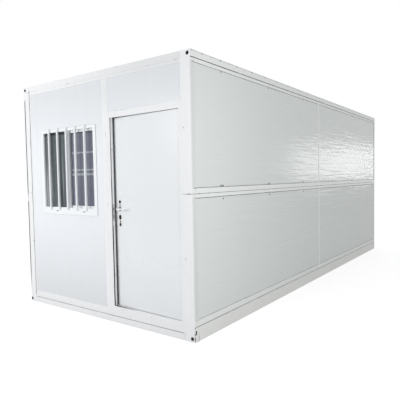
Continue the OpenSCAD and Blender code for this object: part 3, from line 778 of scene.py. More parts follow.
def fibre_board(node):
    """Fibre board in sheets with dark open joints. Only one node takes it."""
    finish = Finish("fibre_board")
    fibre = finish.place.stretch(8, 60, 1).noise(3.0, 6, 0.6)
    colour = fibre.blend(tone(150, 142, 128), tone(196, 188, 172))
    joint_y = abs((finish.y + BOARD_WIDTH / 2) % BOARD_WIDTH - BOARD_WIDTH / 2)
    joint_x = abs(finish.x)
    joint = joint_y.least(joint_x).fall(0.0012, 0.0022)
    colour = joint.blend(colour, tone(44, 40, 34))
    tread = finish.place.noise(3, 4).rise(0.5, 0.8)
    colour = (tread * 0.35).blend(colour, tone(170, 166, 156))
    height = fibre * 0.3 - joint
    return finish.set(Base_Color=colour, Roughness=0.72 + tread * 0.15,
                      Normal=height.bump(0.0012, 0.6))


print("floor boards:", math.ceil((house_high.y - front_plane) / BOARD_WIDTH), "sheets long")

# %% [markdown]
# ## Dress the CAD nodes
# The model's record says which material slot each node takes. One table leads from the slot to
# the finish, and the wall panels choose their tint by where they stand. Both walls are one skin:
# the side walls get a darker, greener tint of painted shade, the end walls a lighter, bluer one.

# %% Give every node its finish
def skin_for(node):
    """Panel skin in the tint of the wall that the node belongs to."""
    side = node.startswith(("right", "left"))
    return panel_skin(node, SIDE_SHADED_TINT, 0.0, 1.0) if side else panel_skin(node, END_TINT, 0.36, 0.3)


FINISHES = {
    "frame_paint": powder_coat, "panel_skin": skin_for, "door_paint": door_paint,
    "galvanised_steel": zinc, "roof_steel": roof_paint, "floor_board": fibre_board,
    "hinge_steel": plated, "seal_rubber": black_rubber, "strike_steel": dull_steel,
    "window_profile": window_plastic, "window_glass": pane_glass, "guard_paint": guard_paint,
    "lock_steel": bright_chrome, "cylinder_brass": dark_nickel,
}
for part in frame["record"]["subparts"]:
    node = frame["nodes"][part["node"]]
    node.data.materials.clear()
    node.data.materials.append(FINISHES[part["material_slot"]](part["node"]))

# %% [markdown]
# ## Geometry Nodes that set fasteners
# Screws repeat by the hundred, so a Geometry Nodes tree makes them. A tree is a recipe with named
# inputs, which each use fills with its own sizes. The Strand class wires it as it wires shaders,
# and a few helpers open a tree, close it, and join, lift and paint what is in it.

# %% Helpers for Geometry Nodes trees
def tree_with(name, sizes):
    """A new Geometry Nodes tree, its first strand and a strand for each named size."""
    tree = bpy.data.node_groups.new(name, "GeometryNodeTree")
    tree.interface.new_socket("Geometry", in_out="INPUT", socket_type="NodeSocketGeometry")
    for label, kind in sizes:
        tree.interface.new_socket(label, in_out="INPUT", socket_type="NodeSocket" + kind)
    tree.interface.new_socket("Geometry", in_out="OUTPUT", socket_type="NodeSocketGeometry")
    entry = tree.nodes.new("NodeGroupInput")
    return tree, {socket.name: Strand(tree, socket) for socket in entry.outputs if socket.name}


def tree_ends(tree, geometry):
    """Closes the tree with this geometry as its result."""
    leave = tree.nodes.new("NodeGroupOutput")
    tree.links.new(geometry.socket, leave.inputs[0])


def join(*parts):
    """Joins strands of geometry."""
    made = parts[0].tree.nodes.new("GeometryNodeJoinGeometry")
    for part in reversed(parts):
        made.id_data.links.new(part.socket, made.inputs[0])
    return Strand(made.id_data, made.outputs[0])


def painted(geometry, finish):
    """The geometry with this finish on it."""
    return geometry.node("GeometryNodeSetMaterial", {}, {"Geometry": geometry, "Material": finish})


def lifted(geometry, height):
    """The geometry moved up by height."""
    raised = geometry.node("ShaderNodeCombineXYZ", {}, {"Z": height})
    return geometry.node("GeometryNodeTransform", {}, {"Geometry": geometry, "Translation": raised})


print("trees before this step:", len(bpy.data.node_groups))

# %% [markdown]
# ### One screw, many places
# The fastener tree takes a mesh whose loose points say where each screw goes, with an attribute
# that says which way is out. It builds one head from a washer, a head and a crossed recess,
# which is a dark cross of painted shade, stands a copy on each point, and gives each copy its own
# turn from a fixed seed.

# %% The fastener tree
def fastener_tree():
    """The tree that stands a screw on every loose point of a mesh."""
    tree, size = tree_with("fasteners", [
        ("Head Width", "Float"), ("Head Height", "Float"), ("Head Taper", "Float"), ("Corners", "Int"),
        ("Washer Width", "Float"), ("Washer Height", "Float"), ("Recess Width", "Float"),
        ("Seed", "Int"), ("Finish", "Material"), ("Recess Finish", "Material")])
    start = size["Geometry"]
    washer = start.node("GeometryNodeMeshCone", {}, {
        "Vertices": 14, "Radius Top": size["Washer Width"] * 0.46,
        "Radius Bottom": size["Washer Width"] * 0.5, "Depth": size["Washer Height"]})
    head = start.node("GeometryNodeMeshCone", {}, {
        "Vertices": size["Corners"], "Radius Top": size["Head Width"] * size["Head Taper"] * 0.5,
        "Radius Bottom": size["Head Width"] * 0.5, "Depth": size["Head Height"]})
    head = lifted(head, size["Washer Height"])
    # The crossed recess is a dark cross on the head's top: painted shade of a recess.
    long_side = size["Recess Width"]
    depth = size["Head Height"] * 0.5
    bars = []
    for wide, deep in ((long_side, long_side * 0.2), (long_side * 0.2, long_side)):
        shape = start.node("ShaderNodeCombineXYZ", {}, {"X": wide, "Y": deep, "Z": depth})
        bars.append(start.node("GeometryNodeMeshCube", {}, {"Size": shape}))
    recess = lifted(join(*bars), size["Washer Height"] + size["Head Height"] * 0.76)
    one = join(painted(join(washer, head), size["Finish"]), painted(recess, size["Recess Finish"]))
    out = start.node("GeometryNodeInputNamedAttribute", {"data_type": "FLOAT_VECTOR"}, {"Name": "out"})
    facing = out.node("FunctionNodeAlignRotationToVector", {"axis": "Z"}, {"Vector": out})
    turn = start.node("FunctionNodeRandomValue", {"data_type": "FLOAT"},
                      {2: 0.0, 3: math.tau, "Seed": size["Seed"]}, 1)
    spin = turn.node("FunctionNodeAxisAngleToRotation", {}, {"Axis": (0, 0, 1), "Angle": turn})
    facing = facing.node("FunctionNodeRotateRotation", {"rotation_space": "LOCAL"},
                         {"Rotation": facing, "Rotate By": spin})
    points = start.node("GeometryNodeMeshToPoints", {}, {"Mesh": start})
    stood = points.node("GeometryNodeInstanceOnPoints", {},
                        {"Points": points, "Instance": one, "Rotation": facing})
    tree_ends(tree, stood.node("GeometryNodeRealizeInstances", {}, {"Geometry": stood}))
    return tree


FASTENERS = fastener_tree()
print("tree:", FASTENERS.name, len(FASTENERS.nodes), "nodes")

# %% [markdown]
# ### Run a tree and keep its mesh
# A tree runs as a modifier on a mesh of seeds. Its result is kept as one plain mesh for each
# body, and the modifier is taken off again, because the parts library wants plain meshes. Each
# piece then rides on its body.

# %% Grow fasteners from their places
def run_tree(name, tree, seeds, sizes, body):
    """Runs the tree on the seed mesh and keeps the result as one plain piece on its body. The
    modifier knows its inputs by identifier, and they are set before it first runs."""
    piece = bpy.data.objects.new(name, seeds)
    bpy.context.scene.collection.objects.link(piece)
    step = piece.modifiers.new("grow", "NODES")
    step.node_group = tree
    for socket in tree.interface.items_tree:
        if socket.in_out == "INPUT" and socket.name in sizes:
            step[socket.identifier] = sizes[socket.name]
    ready = piece.evaluated_get(bpy.context.evaluated_depsgraph_get())
    mesh = bpy.data.meshes.new_from_object(ready)
    piece.modifiers.remove(step)
    piece.data = mesh
    mesh.name = name
    if mesh.materials[0] is None:
        mesh.materials.pop(index=0)
    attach(piece, body)
    print(name, "has", len(mesh.polygons), "faces in", [m.name for m in mesh.materials])
    return piece


def fasteners(name, places, out, body, slot, finish, **sizes):
    """Fasteners at places, all facing out. Sizes are in millimetres."""
    seeds = bpy.data.meshes.new(name + "_points")
    seeds.from_pydata([tuple(place) for place in places], [], [])
    facing = seeds.attributes.new("out", "FLOAT_VECTOR", "POINT")
    facing.data.foreach_set("vector", list(out) * len(places))
    plain = {"Head Width": 8, "Head Height": 2, "Head Taper": 0.7, "Washer Width": 9,
             "Washer Height": 0.6, "Recess Width": 3.6}
    plain.update({key.replace("_", " ").title(): value for key, value in sizes.items()})
    corners = int(plain.pop("Corners", 12))
    values = {key: value / 1000 if "Taper" not in key else value for key, value in plain.items()}
    values.update({"Corners": corners, "Seed": len(name), "Finish": finish, "Recess Finish": DARK})
    return run_tree(name, FASTENERS, seeds, values, body)


# Near black: on the screws' crossed recesses it is painted shade.
DARK = black_rubber("recess")
SCREW_ZINC = plated("screws")
print("screw finishes:", SCREW_ZINC.name, DARK.name)

# %% [markdown]
# ### Roof screws
# The ribbed roof sheet is fixed with hexagon screws and sealing washers, four in each valley: over
# both side beams and at the thirds. In a valley a screw holds the sheet down without crushing a
# rib.

# %% Screw the roof down
RIB_COUNT = 24
OVER_BEAM = 0.035
THIRD = 0.33
sheet_low, sheet_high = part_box("roof_sheet")
rib_pitch = (sheet_high.y - sheet_low.y) / RIB_COUNT
valleys = [sheet_low.y + rib_pitch * step for step in range(1, RIB_COUNT)]
rows = [sheet_low.x + OVER_BEAM, sheet_low.x * THIRD, sheet_high.x * THIRD, sheet_high.x - OVER_BEAM]
spots = [(x, y, sheet_high.z) for y in valleys for x in rows]
fasteners("roof_screws", spots, (0, 0, 1), "house", "hinge_steel", SCREW_ZINC, corners=6,
          head_width=10, head_height=5, head_taper=0.92, washer_width=17, washer_height=2,
          recess_width=0.5)
print("rib pitch", round(rib_pitch, 3), "screws", len(spots))

# %% [markdown]
# ### Bolts in the corner posts
# The end wall is bolted to the split posts once the house stands. The bolts' heads show as small
# dark dots on the posts' faces, one above and one below the fold on each.

# %% Bolt the end wall to its posts
BOLT_COLUMNS = (-1.128, 1.140)
BOLT_HEIGHTS = (0.722, 1.851)
bolts = [(x, front_plane, z) for x in BOLT_COLUMNS for z in BOLT_HEIGHTS]
fasteners("post_bolts", bolts, (0, -1, 0), "house", "strike_steel", dull_steel("post_bolts"),
          corners=6, head_width=10, head_height=3.5, head_taper=0.9, washer_width=14,
          washer_height=1.2, recess_width=0.5)

# %% [markdown]
# ## A tree that lays beads
# Sealant and rubber are laid along a line. The tree takes a mesh of plain edges, turns them into
# curves, measures them into short steps and sweeps a round section along them. Noise with a
# fixed seed makes the bead swell and shrink, as a hand with a gun does. Even steps along a path
# with corners would miss the corners and cut them off, so every straight leg is a curve of its
# own.

# %% The bead tree
def bead_tree():
    """The tree that sweeps a round, slightly uneven bead along every edge of a mesh."""
    tree, size = tree_with("beads", [
        ("Width", "Float"), ("Step", "Float"), ("Uneven", "Float"), ("Sides", "Int"),
        ("Seed", "Int"), ("Finish", "Material")])
    start = size["Geometry"]
    path = start.node("GeometryNodeMeshToCurve", {}, {"Mesh": start})
    path = path.node("GeometryNodeResampleCurve", {"mode": "LENGTH"},
                     {"Curve": path, "Length": size["Step"]})
    spot = path.node("GeometryNodeInputPosition")
    drift = spot.node("ShaderNodeVectorMath", {"operation": "ADD"}, {0: spot, 1: size["Seed"] * 3.7})
    swell = 1 + (drift.noise(9, 2) - 0.5) * size["Uneven"] * 2
    path = path.node("GeometryNodeSetCurveRadius", {}, {"Curve": path, "Radius": swell})
    section = path.node("GeometryNodeCurvePrimitiveCircle", {},
                        {"Resolution": size["Sides"], "Radius": size["Width"] * 0.5})
    swept = path.node("GeometryNodeCurveToMesh", {},
                      {"Curve": path, "Profile Curve": section, "Scale": swell, "Fill Caps": True})
    swept = swept.node("GeometryNodeRealizeInstances", {}, {"Geometry": swept})
    tree_ends(tree, painted(swept, size["Finish"]))
    return tree


BEADS = bead_tree()


def beads(name, paths, body, finish, width, step=0.08, uneven=0.15, sides=8):
    """Beads of a width in millimetres along paths. Each path is a list of corners."""
    corners = []
    edges = []
    for path in paths:
        for leg in zip(path, path[1:]):
            edges.append((len(corners), len(corners) + 1))
            corners.extend(tuple(corner) for corner in leg)
    seeds = bpy.data.meshes.new(name + "_path")
    seeds.from_pydata(corners, edges, [])
    values = {"Width": width / 1000, "Step": step, "Uneven": uneven, "Sides": sides,
              "Seed": len(name), "Finish": finish}
    return run_tree(name, BEADS, seeds, values, body)


print("tree:", BEADS.name, len(BEADS.nodes), "nodes")

# %% [markdown]
# ### Sealants and rubbers
# Sealant is matt and slightly lumpy, and it darkens where dust sticks to it. Each kind is given
# by its dusty and its clean colour. The rubber for the door's rebate and its left arris is near
# black with less shine: painted shade that darkens the gap round the door.

# %% Mix the sealants and rubbers
def sealant(name, dark, pale):
    """Sealant that goes from its dusty to its clean colour in patches."""
    finish = Finish(name)
    caught = finish.place.noise(6, 5).rise(0.35, 0.7)
    colour = caught.blend(tone(*dark), tone(*pale))
    return finish.set(Base_Color=colour, Roughness=0.6 + caught * 0.2,
                      Normal=finish.place.noise(120, 3).bump(0.0006, 0.5))


DIM_SEALANT = sealant("dim_sealant", (126, 129, 128), (176, 178, 177))
GREY_SEALANT = sealant("grey_sealant", (58, 60, 60), (128, 130, 129))
PALE_SEALANT = sealant("pale_sealant", (176, 178, 178), (214, 217, 218))
WHITE_SEALANT = sealant("white_sealant", (236, 239, 241), (246, 248, 250))
BLACK_RUBBER = black_rubber("gaskets")
# Near-black rubber of painted shade, for the gap round the door.
GAP_SHADE_BLACK = black_rubber("rebate", 7, 14, 0.15)
print("mixed:", DIM_SEALANT.name, GREY_SEALANT.name, PALE_SEALANT.name, WHITE_SEALANT.name)

# %% [markdown]
# ### Sealant round the side panels
# Each side panel sits 3 mm behind the rails, and a bead of sealant closes the joint. The beads
# beside the fold have caught the most dust, those at the outer rails less, and from a distance
# they draw thin dark lines. The beads beside the posts and the middle strip were painted over
# with the wall, all but the one at the far post of each upper half, which is black rubber. Every
# bead is pressed into the corner between panel and rail, so most of it stays behind the face.

# %% Seal the side panels
def points_of(node):
    """The places of all points of a CAD node."""
    return [vertex.co for vertex in frame["nodes"][node].data.vertices]


def straight_up(x, y, foot, top):
    """A path that goes straight up."""
    return [(x, y, foot), (x, y, top)]


BEAD_INSET = 0.0022
BEAD_SINK = 0.0006
DEEPER = 0.0008
fold_joints = []
rail_joints = []
post_joints = []
painted_joints = []
for side in ("right", "left"):
    for level in ("upper", "lower"):
        low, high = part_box(side + "_" + level + "_panels")
        strip_half = min(abs(point.y) for point in points_of(side + "_" + level + "_panels"))
        outer = high.x if side == "right" else low.x
        inwards = -math.copysign(1, outer)
        face = outer + inwards * BEAD_SINK
        for z in (low.z + BEAD_INSET, high.z - BEAD_INSET):
            near_fold = abs(z - house_high.z / 2) < house_high.z / 4
            joints = fold_joints if near_fold else rail_joints
            joints.append([(face, low.y + BEAD_INSET, z), (face, high.y - BEAD_INSET, z)])
        joints = post_joints if level == "upper" else painted_joints
        joints.append(straight_up(face + inwards * DEEPER, high.y - BEAD_INSET, low.z, high.z))
        for y in (low.y + BEAD_INSET, -strip_half - BEAD_INSET, strip_half + BEAD_INSET):
            painted_joints.append(straight_up(face, y, low.z, high.z))
beads("side_rail_sealant", fold_joints, "house", GREY_SEALANT, 5.2, 0.09, 0.4)
beads("outer_rail_sealant", rail_joints, "house", DIM_SEALANT, 5.0, 0.09, 0.4)
beads("back_post_sealant", post_joints, "house", BLACK_RUBBER, 6.6, 0.11, 0.1)
beads("side_strip_sealant", painted_joints, "house", WHITE_SEALANT, 4.6, 0.11, 0.15)

# %% [markdown]
# ### Gaskets and sealant of the front wall
# The end wall is a lighter frame that is bolted between the posts, with black rubber in the left
# joint and white sealant in the right one. The door frame's rebate has a near-black lining of
# painted shade, four ribs side by side, pressed a little into the steel so that the door swings
# clear of it. A near-black line of painted shade runs up its left arris and is pressed wider over
# the lower part. Each is a bead laid along an edge that a node's box gives.

# %% Lay the front wall's beads
PRESSED_IN = 0.0035
LINING_DEPTHS = (0.0050, 0.0115, 0.0180, 0.0245)
wall_low, wall_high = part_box("front_wall_frame")
seal_low, seal_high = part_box("door_seal")
left_joint = straight_up(wall_low.x + 0.0012, front_plane + 0.0008,
                         wall_low.z + 0.02, wall_high.z + 0.02)
beads("left_post_gasket", [left_joint], "house", BLACK_RUBBER, 6.4, 0.1, 0.35)
right_joint = straight_up(wall_high.x, front_plane + 0.0022, wall_low.z, wall_high.z)
beads("right_post_sealant", [right_joint], "house", WHITE_SEALANT, 5.6, 0.1, 0.1)

rebate_left = seal_low.x - 0.0005
rebate_right = seal_high.x + 0.0005
rebate_top = seal_high.z + 0.0005
sill = seal_low.z
doorway_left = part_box("strike_plate")[1].x
doorway_right = rebate_left + rebate_right - doorway_left
left = rebate_left - PRESSED_IN
right = rebate_right + PRESSED_IN
top = rebate_top + PRESSED_IN
# Painted shade: the lining and the two arris lines are near black, to darken the gap round the door.
lining = []
for depth in LINING_DEPTHS:
    y = seal_high.y + depth
    lining.append([(left, y, sill), (left, y, top), (right, y, top), (right, y, sill)])
beads("rebate_lining", lining, "house", GAP_SHADE_BLACK, 6.2, 0.12, 0.05)
arris_shade_path = straight_up(doorway_left - 0.0040, front_plane + 0.0012, sill + 0.004, rebate_top - 0.012)
beads("left_arris_foam", [arris_shade_path], "house", GAP_SHADE_BLACK, 8.6, 0.09, 0.25)
pressed = straight_up(doorway_left - 0.0026, front_plane + 0.0016, sill + 0.004, sill + 0.80)
beads("pressed_arris_foam", [pressed], "house", GAP_SHADE_BLACK, 9.4, 0.09, 0.12)
print("doorway from", round(doorway_left, 3), "to", round(doorway_right, 3))

# %% [markdown]
# ### Seals of the window and the back wall
# Pale sealant runs round the window frame and round each panel of the back wall, and every pane
# sits in a thin black gasket. Where the two sashes meet, a brush keeps the wind out. All but the
# brush are closed rectangles in one plane, so one short function gives their corners.

# %% Seal the window and the back wall
def box_of(points):
    """Lowest and highest corner of some points."""
    low = Vector([min(point[i] for point in points) for i in range(3)])
    high = Vector([max(point[i] for point in points) for i in range(3)])
    return low, high


def ring(low, high, y, inset):
    """A closed rectangle in the plane y, inset from the box from low to high."""
    left = low.x + inset
    right = high.x - inset
    foot = low.z + inset
    top = high.z - inset
    return [(left, y, foot), (right, y, foot), (right, y, top), (left, y, top), (left, y, foot)]


panel_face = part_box("front_window_panel")[0].y
window_low, window_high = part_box("window_frame")
window_middle = (window_low.x + window_high.x) / 2
round_window = ring(window_low, window_high, panel_face - 0.0004, -0.0004)
beads("window_sealant", [round_window], "house", PALE_SEALANT, 3.4, 0.05, 0.3)

glass_low, glass_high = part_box("window_glass")
between_panes = (glass_low.y + glass_high.y) / 2
gaskets = []
for behind in (False, True):
    pane = [point for point in points_of("window_glass") if (point.y >= between_panes) == behind]
    low, high = box_of(pane)
    gaskets.append(ring(low, high, low.y - 0.0002, 0.0012))
beads("pane_gaskets", gaskets, "house", BLACK_RUBBER, 3.6, 0.05, 0.05)

sash_low, sash_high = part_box("window_sashes")
brush_y = (sash_low.y + sash_high.y) / 2 - 0.001
brush = straight_up(window_middle + 0.0186, brush_y, sash_low.z + 0.02, sash_high.z - 0.02)
beads("meeting_brush", [brush], "house", BLACK_RUBBER, 5.0, 0.06, 0.1)

back_low, back_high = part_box("back_wall_panels")
back_middle = min(abs(point.x) for point in points_of("back_wall_panels"))
back_paths = []
for side in (-1, 1):
    near, far = sorted((side * back_middle, side * back_high.x))
    back_paths.append(ring(Vector((near, 0, back_low.z)), Vector((far, 0, back_high.z)),
                           back_high.y - 0.0003, 0.0016))
beads("back_panel_sealant", back_paths, "house", PALE_SEALANT, 3.4, 0.1, 0.3)
print("panes:", len(gaskets), "back panels:", len(back_paths))

# %% [markdown]
# ### Marks of the fold hinges
# The two halves of a side wall turn on hinges inside. Each hinge is riveted through the rails,
# and outside it leaves two rivets above the fold, a dark dot below it, and a dark tick under the
# top rail where a stay is fixed. They repeat in columns, so they are fasteners too. The columns
# are found from the CAD hinges: a gap of more than 0.2 m along the wall starts a new one.

# %% Fix the fold hinges and the stays
COLUMN_GAP = 0.2
RIVET_RISE = 0.0125
RIVET_OFFSETS = (-0.018, 0.018)
DOT_DROP = 0.024
DOT_SHIFT = 0.02
TICK_DROP = 0.012
TICK_SHIFT = 0.01
hinge_rows = sorted({round(point.y, 4) for point in points_of("fold_hinges")})
columns = []
for y in hinge_rows:
    if not columns or y - columns[-1][-1] > COLUMN_GAP:
        columns.append([])
    columns[-1].append(y)
centres = [(column[0] + column[-1]) / 2 for column in columns]
HINGE_STEEL = plated("hinge_rivets")
strips = []
for side, sign in (("right", 1), ("left", -1)):
    low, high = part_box(side + "_upper_panels")
    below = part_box(side + "_lower_panels")[1].z
    face = high.x if sign > 0 else low.x
    rivet_z = low.z + RIVET_RISE
    strips.append((face, sign, rivet_z))
    above = [(face + sign * 0.0008, y + d, rivet_z) for y in centres for d in RIVET_OFFSETS]
    fasteners(side + "_hinge_rivets", above, (sign, 0, 0), "house", "hinge_steel", HINGE_STEEL,
              corners=8, head_width=8, head_height=1.2, washer_width=10, washer_height=0.4,
              recess_width=4)
    dots = [(face, y + DOT_SHIFT, below - DOT_DROP) for y in centres]
    fasteners(side + "_hinge_dots", dots, (sign, 0, 0), "house", "hinge_steel", DARK,
              head_width=10, head_height=1.4, washer_width=15, washer_height=0.9, recess_width=3)
    ticks = [(face, y + TICK_SHIFT, high.z - TICK_DROP) for y in centres]
    fasteners(side + "_stay_ticks", ticks, (sign, 0, 0), "house", "hinge_steel", DARK,
              head_width=10, head_height=1.2, washer_width=13, washer_height=0.8, recess_width=7)
print("hinge columns at", [round(y, 3) for y in centres])

# %% [markdown]
# ### Screws inside
# With the door open the floor boards and the fold hinges show. The boards are screwed to
# every joist in rows of eight, and each hinge plate has four screws.

# %% Screw down the floor and the hinge plates
SCREWS_IN_ROW = 8
FROM_EDGE = 0.06
board_low, board_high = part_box("floor_board")
joist_rows = sorted({round(point.y, 3) for point in points_of("floor_joists")})
joists = [(a + b) / 2 for a, b in zip(joist_rows[::2], joist_rows[1::2])]
screw_step = (board_high.x - board_low.x - 2 * FROM_EDGE) / (SCREWS_IN_ROW - 1)
screw_xs = [board_low.x + FROM_EDGE + screw_step * i for i in range(SCREWS_IN_ROW)]
spots = [(x, y, board_high.z - 0.0004) for y in joists for x in screw_xs]
fasteners("floor_screws", spots, (0, 0, 1), "house", "hinge_steel", SCREW_ZINC, corners=8,
          head_width=8, head_height=0.6, head_taper=0.9, washer_width=8, washer_height=0.2,
          recess_width=4)
hinge_low, hinge_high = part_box("fold_hinges")
for side, sign in (("right", 1), ("left", -1)):
    spots = []
    for y in centres:
        for dy in (-0.035, 0.035):
            for z in (hinge_low.z + 0.009, hinge_high.z - 0.009):
                spots.append((sign * (hinge_high.x - 0.003), y + dy, z))
    fasteners(side + "_hinge_screws", spots, (-sign, 0, 0), "house", "hinge_steel", SCREW_ZINC,
              head_width=8, head_height=1.6, washer_width=8.4, washer_height=0.3)
print("joists:", len(joists))

# %% [markdown]
# ## The door's own axes
# The door stands a little open, so nothing on it is level with the house's axes. Its small parts
# are drawn in the closed door's straight axes and then turned to the rest position. The door's
# joint in the record gives the pivot, the axis and the angle.

# %% Find the closed door
swing = door_joint["pos_m"]
opened = math.radians(-door_joint["range_deg"][0])
to_rest = (Matrix.Translation(swing) @ Matrix.Rotation(opened, 4, Vector(door_joint["axis"]))
           @ Matrix.Translation(-Vector(swing)))
to_closed = to_rest.inverted()


def closed_points(node):
    """The points of a node on the door, in the axes of the closed door."""
    return [to_closed @ point for point in points_of(node)]


leaf_low, leaf_high = box_of(closed_points("door_leaf"))
plate_low, plate_high = box_of(closed_points("lock_plates"))
cylinder_low, cylinder_high = box_of(closed_points("key_cylinder"))
lock_x = (plate_low.x + plate_high.x) / 2
neck_z = lever_joint["pos_m"][2]
print("opened", round(math.degrees(opened), 2), "degrees")
print("leaf", [round(c, 4) for c in leaf_low], [round(c, 4) for c in leaf_high])
print("plate", [round(c, 4) for c in plate_low], [round(c, 4) for c in plate_high])

# %% [markdown]
# ## Shapes for small parts
# A few parts don't repeat: plates, flaps, rings and strips. They are drawn with bmesh, Blender's
# mesh editing kit, from two simple moves. A prism lifts a flat outline to some height, and a
# lathe shape turns a profile round an axis. Both are drawn flat, and a matrix made from a point,
# an outward and an upward direction sets them in place.

# %% Shapes for small parts
def prism(shape, outline, place, height):
    """Adds a flat shape of some height. place turns its own x, y, z into the house's."""
    rings = [[shape.verts.new(place @ Vector((u, v, w))) for u, v in outline] for w in (0, height)]
    shape.faces.new(rings[0][::-1])
    shape.faces.new(rings[1])
    for i in range(len(outline)):
        j = (i + 1) % len(outline)
        shape.faces.new((rings[0][i], rings[0][j], rings[1][j], rings[1][i]))


def turned(shape, profile, place, steps=24):
    """Adds a lathe shape. The profile is (radius, height) pairs, closed on itself."""
    rings = []
    for k in range(steps):
        angle = math.tau * k / steps
        rings.append([shape.verts.new(place @ Vector((r * math.cos(angle), r * math.sin(angle), h)))
                      for r, h in profile])
    count = len(profile)
    for k in range(steps):
        here = rings[k]
        there = rings[(k + 1) % steps]
        for i in range(count):
            j = (i + 1) % count
            shape.faces.new((here[i], there[i], there[j], here[j]))


def oblong(width, height, corner, steps=5):
    """Outline of a rectangle with round corners, about its own middle."""
    points = []
    for cx, cy, start in ((1, -1, -90), (1, 1, 0), (-1, 1, 90), (-1, -1, 180)):
        for k in range(steps + 1):
            angle = math.radians(start + 90 * k / steps)
            points.append((cx * (width / 2 - corner) + corner * math.cos(angle),
                           cy * (height / 2 - corner) + corner * math.sin(angle)))
    return points


def facing(point, out, up):
    """Matrix whose z axis points out and whose y axis points up, set at point."""
    z = Vector(out).normalized()
    y = Vector(up).normalized()
    x = y.cross(z)
    matrix = Matrix((x, y, z)).transposed().to_4x4()
    matrix.translation = point
    return matrix


print("an oblong has", len(oblong(1, 1, 0.2)), "corners")

# %% [markdown]
# ### Keep a small part
# Points that fall together are merged first, then all faces are turned outwards, and only then
# does the mesh get its place on the door or the house. A narrow bevel catches light on the edges.

# %% Make a piece of a shape
BEVEL_STEPS = 2


def small_part(name, shape, body, finish, round_off=0.0, turn=None):
    """Makes one piece of a bmesh, with clean outward faces and softened edges."""
    bmesh.ops.remove_doubles(shape, verts=shape.verts, dist=1e-6)
    bmesh.ops.recalc_face_normals(shape, faces=shape.faces)
    mesh = bpy.data.meshes.new(name)
    shape.to_mesh(mesh)
    shape.free()
    if turn is not None:
        mesh.transform(turn)
    mesh.materials.append(finish)
    piece = bpy.data.objects.new(name, mesh)
    bpy.context.scene.collection.objects.link(piece)
    if round_off:
        soft = piece.modifiers.new("soft_edges", "BEVEL")
        soft.width = round_off
        soft.segments = BEVEL_STEPS
        soft.limit_method = "ANGLE"
    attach(piece, body)
    print(name, "has", len(mesh.polygons), "faces")
    return piece


print("edges are softened in", BEVEL_STEPS, "steps")

# %% [markdown]
# ### Hinge strips and drain flaps
# Behind each pair of rivets above the fold lies a short zinc strip. Along the foot of the window
# frame two black flaps cover the slots that let rain water out. All are oblongs a millimetre or
# so thick, sunk a little into the face they lie on.

# %% Add the hinge strips and the drain flaps
UP = (0, 0, 1)
OUT_FRONT = (0, -1, 0)
shape = bmesh.new()
for face, sign, z in strips:
    for y in centres:
        place = facing((face - sign * 0.0004, y, z), (sign, 0, 0), UP)
        prism(shape, oblong(0.062, 0.016, 0.003, 3), place, 0.0014)
small_part("hinge_strips", shape, "house", HINGE_STEEL, 0.0004)

shape = bmesh.new()
for x in (window_middle - 0.199, window_middle + 0.251):
    place = facing((x, window_low.y + 0.0024, window_low.z + 0.0365), OUT_FRONT, UP)
    prism(shape, oblong(0.043, 0.0064, 0.002, 3), place, 0.0014)
small_part("drain_flaps", shape, "house", BLACK_RUBBER, 0.0002)

# %% [markdown]
# ### Marks on the lock plates
# A long plate on each face of the door carries the lever. Near each end it has a dark slot, and
# next to that, towards the middle, a screw. A dark ring round the lever's neck is a painted
# shadow of the lever, and a dark oblong frames the key cylinder. Slots, rings and oblongs are on
# both faces, the screws on the outer one.

# %% Mark the lock plates
DARK_SLOT = black_rubber("plate_slots", 9, 20, 0.2)
# Profile of the dark ring round the lever's neck: a painted shadow of the lever.
NECK_SHADOW_RING = [(0.0122, -0.0003), (0.0214, -0.0003), (0.0216, 0.0012), (0.0200, 0.0026),
          (0.0138, 0.0026), (0.0122, 0.0016)]
plate_faces = ((plate_low.y, -1), (plate_high.y, 1))
shape = bmesh.new()
for face_y, out in plate_faces:
    for z in (plate_low.z + 0.021, plate_high.z - 0.022):
        place = facing((lock_x, face_y - out * 0.0004, z), (0, out, 0), UP)
        prism(shape, oblong(0.028, 0.031, 0.010), place, 0.0009)
small_part("plate_slots", shape, "door", DARK_SLOT, 0.0002, to_rest)

cylinder_z = (cylinder_low.z + cylinder_high.z) / 2
shape = bmesh.new()
for face_y, out in plate_faces:
    turned(shape, NECK_SHADOW_RING, facing((lock_x, face_y, neck_z), (0, out, 0), UP), 32)
    place = facing((lock_x, face_y - out * 0.0004, cylinder_z), (0, out, 0), UP)
    prism(shape, oblong(0.034, 0.047, 0.015), place, 0.0014)
small_part("lever_rings", shape, "door", DARK_SLOT, 0.0, to_rest)

screw_heights = (plate_low.z + 0.050, plate_high.z - 0.055)
screws = [to_rest @ Vector((lock_x, plate_low.y + 0.0003, z)) for z in screw_heights]
screw_out = to_rest.to_3x3() @ Vector(OUT_FRONT)
fasteners("plate_screws", screws, screw_out, "door", "lock_steel", DARK_SLOT,
          head_width=14, head_height=1.6, washer_width=19, washer_height=0.5, recess_width=7)

# %% [markdown]
# ### Lock edge and strike
# A long plate on the leaf's free edge carries the sprung latch and the dead bolt. The strike on
# the frame has a dark pocket for each of them, a flat patch of painted shade, and a screw at each
# end.

# %% Make the lock edge and the strike's pockets
FREE_EDGE_DEPTH = 0.006
outer_points = [p for p in closed_points("door_leaf") if p.y < leaf_low.y + FREE_EDGE_DEPTH]
edge_x = min(point.x for point in outer_points)
shape = bmesh.new()
place = facing((edge_x + 0.0012, leaf_low.y + 0.0185, neck_z - 0.04), (-1, 0, 0), UP)
prism(shape, oblong(0.019, 0.235, 0.004), place, 0.0015)
small_part("lock_edge_plate", shape, "door", plated("lock_edge"), 0.0004, to_rest)

strike_low, strike_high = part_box("strike_plate")
strike_x = strike_high.x - 0.0002
strike_y = (strike_low.y + strike_high.y) / 2
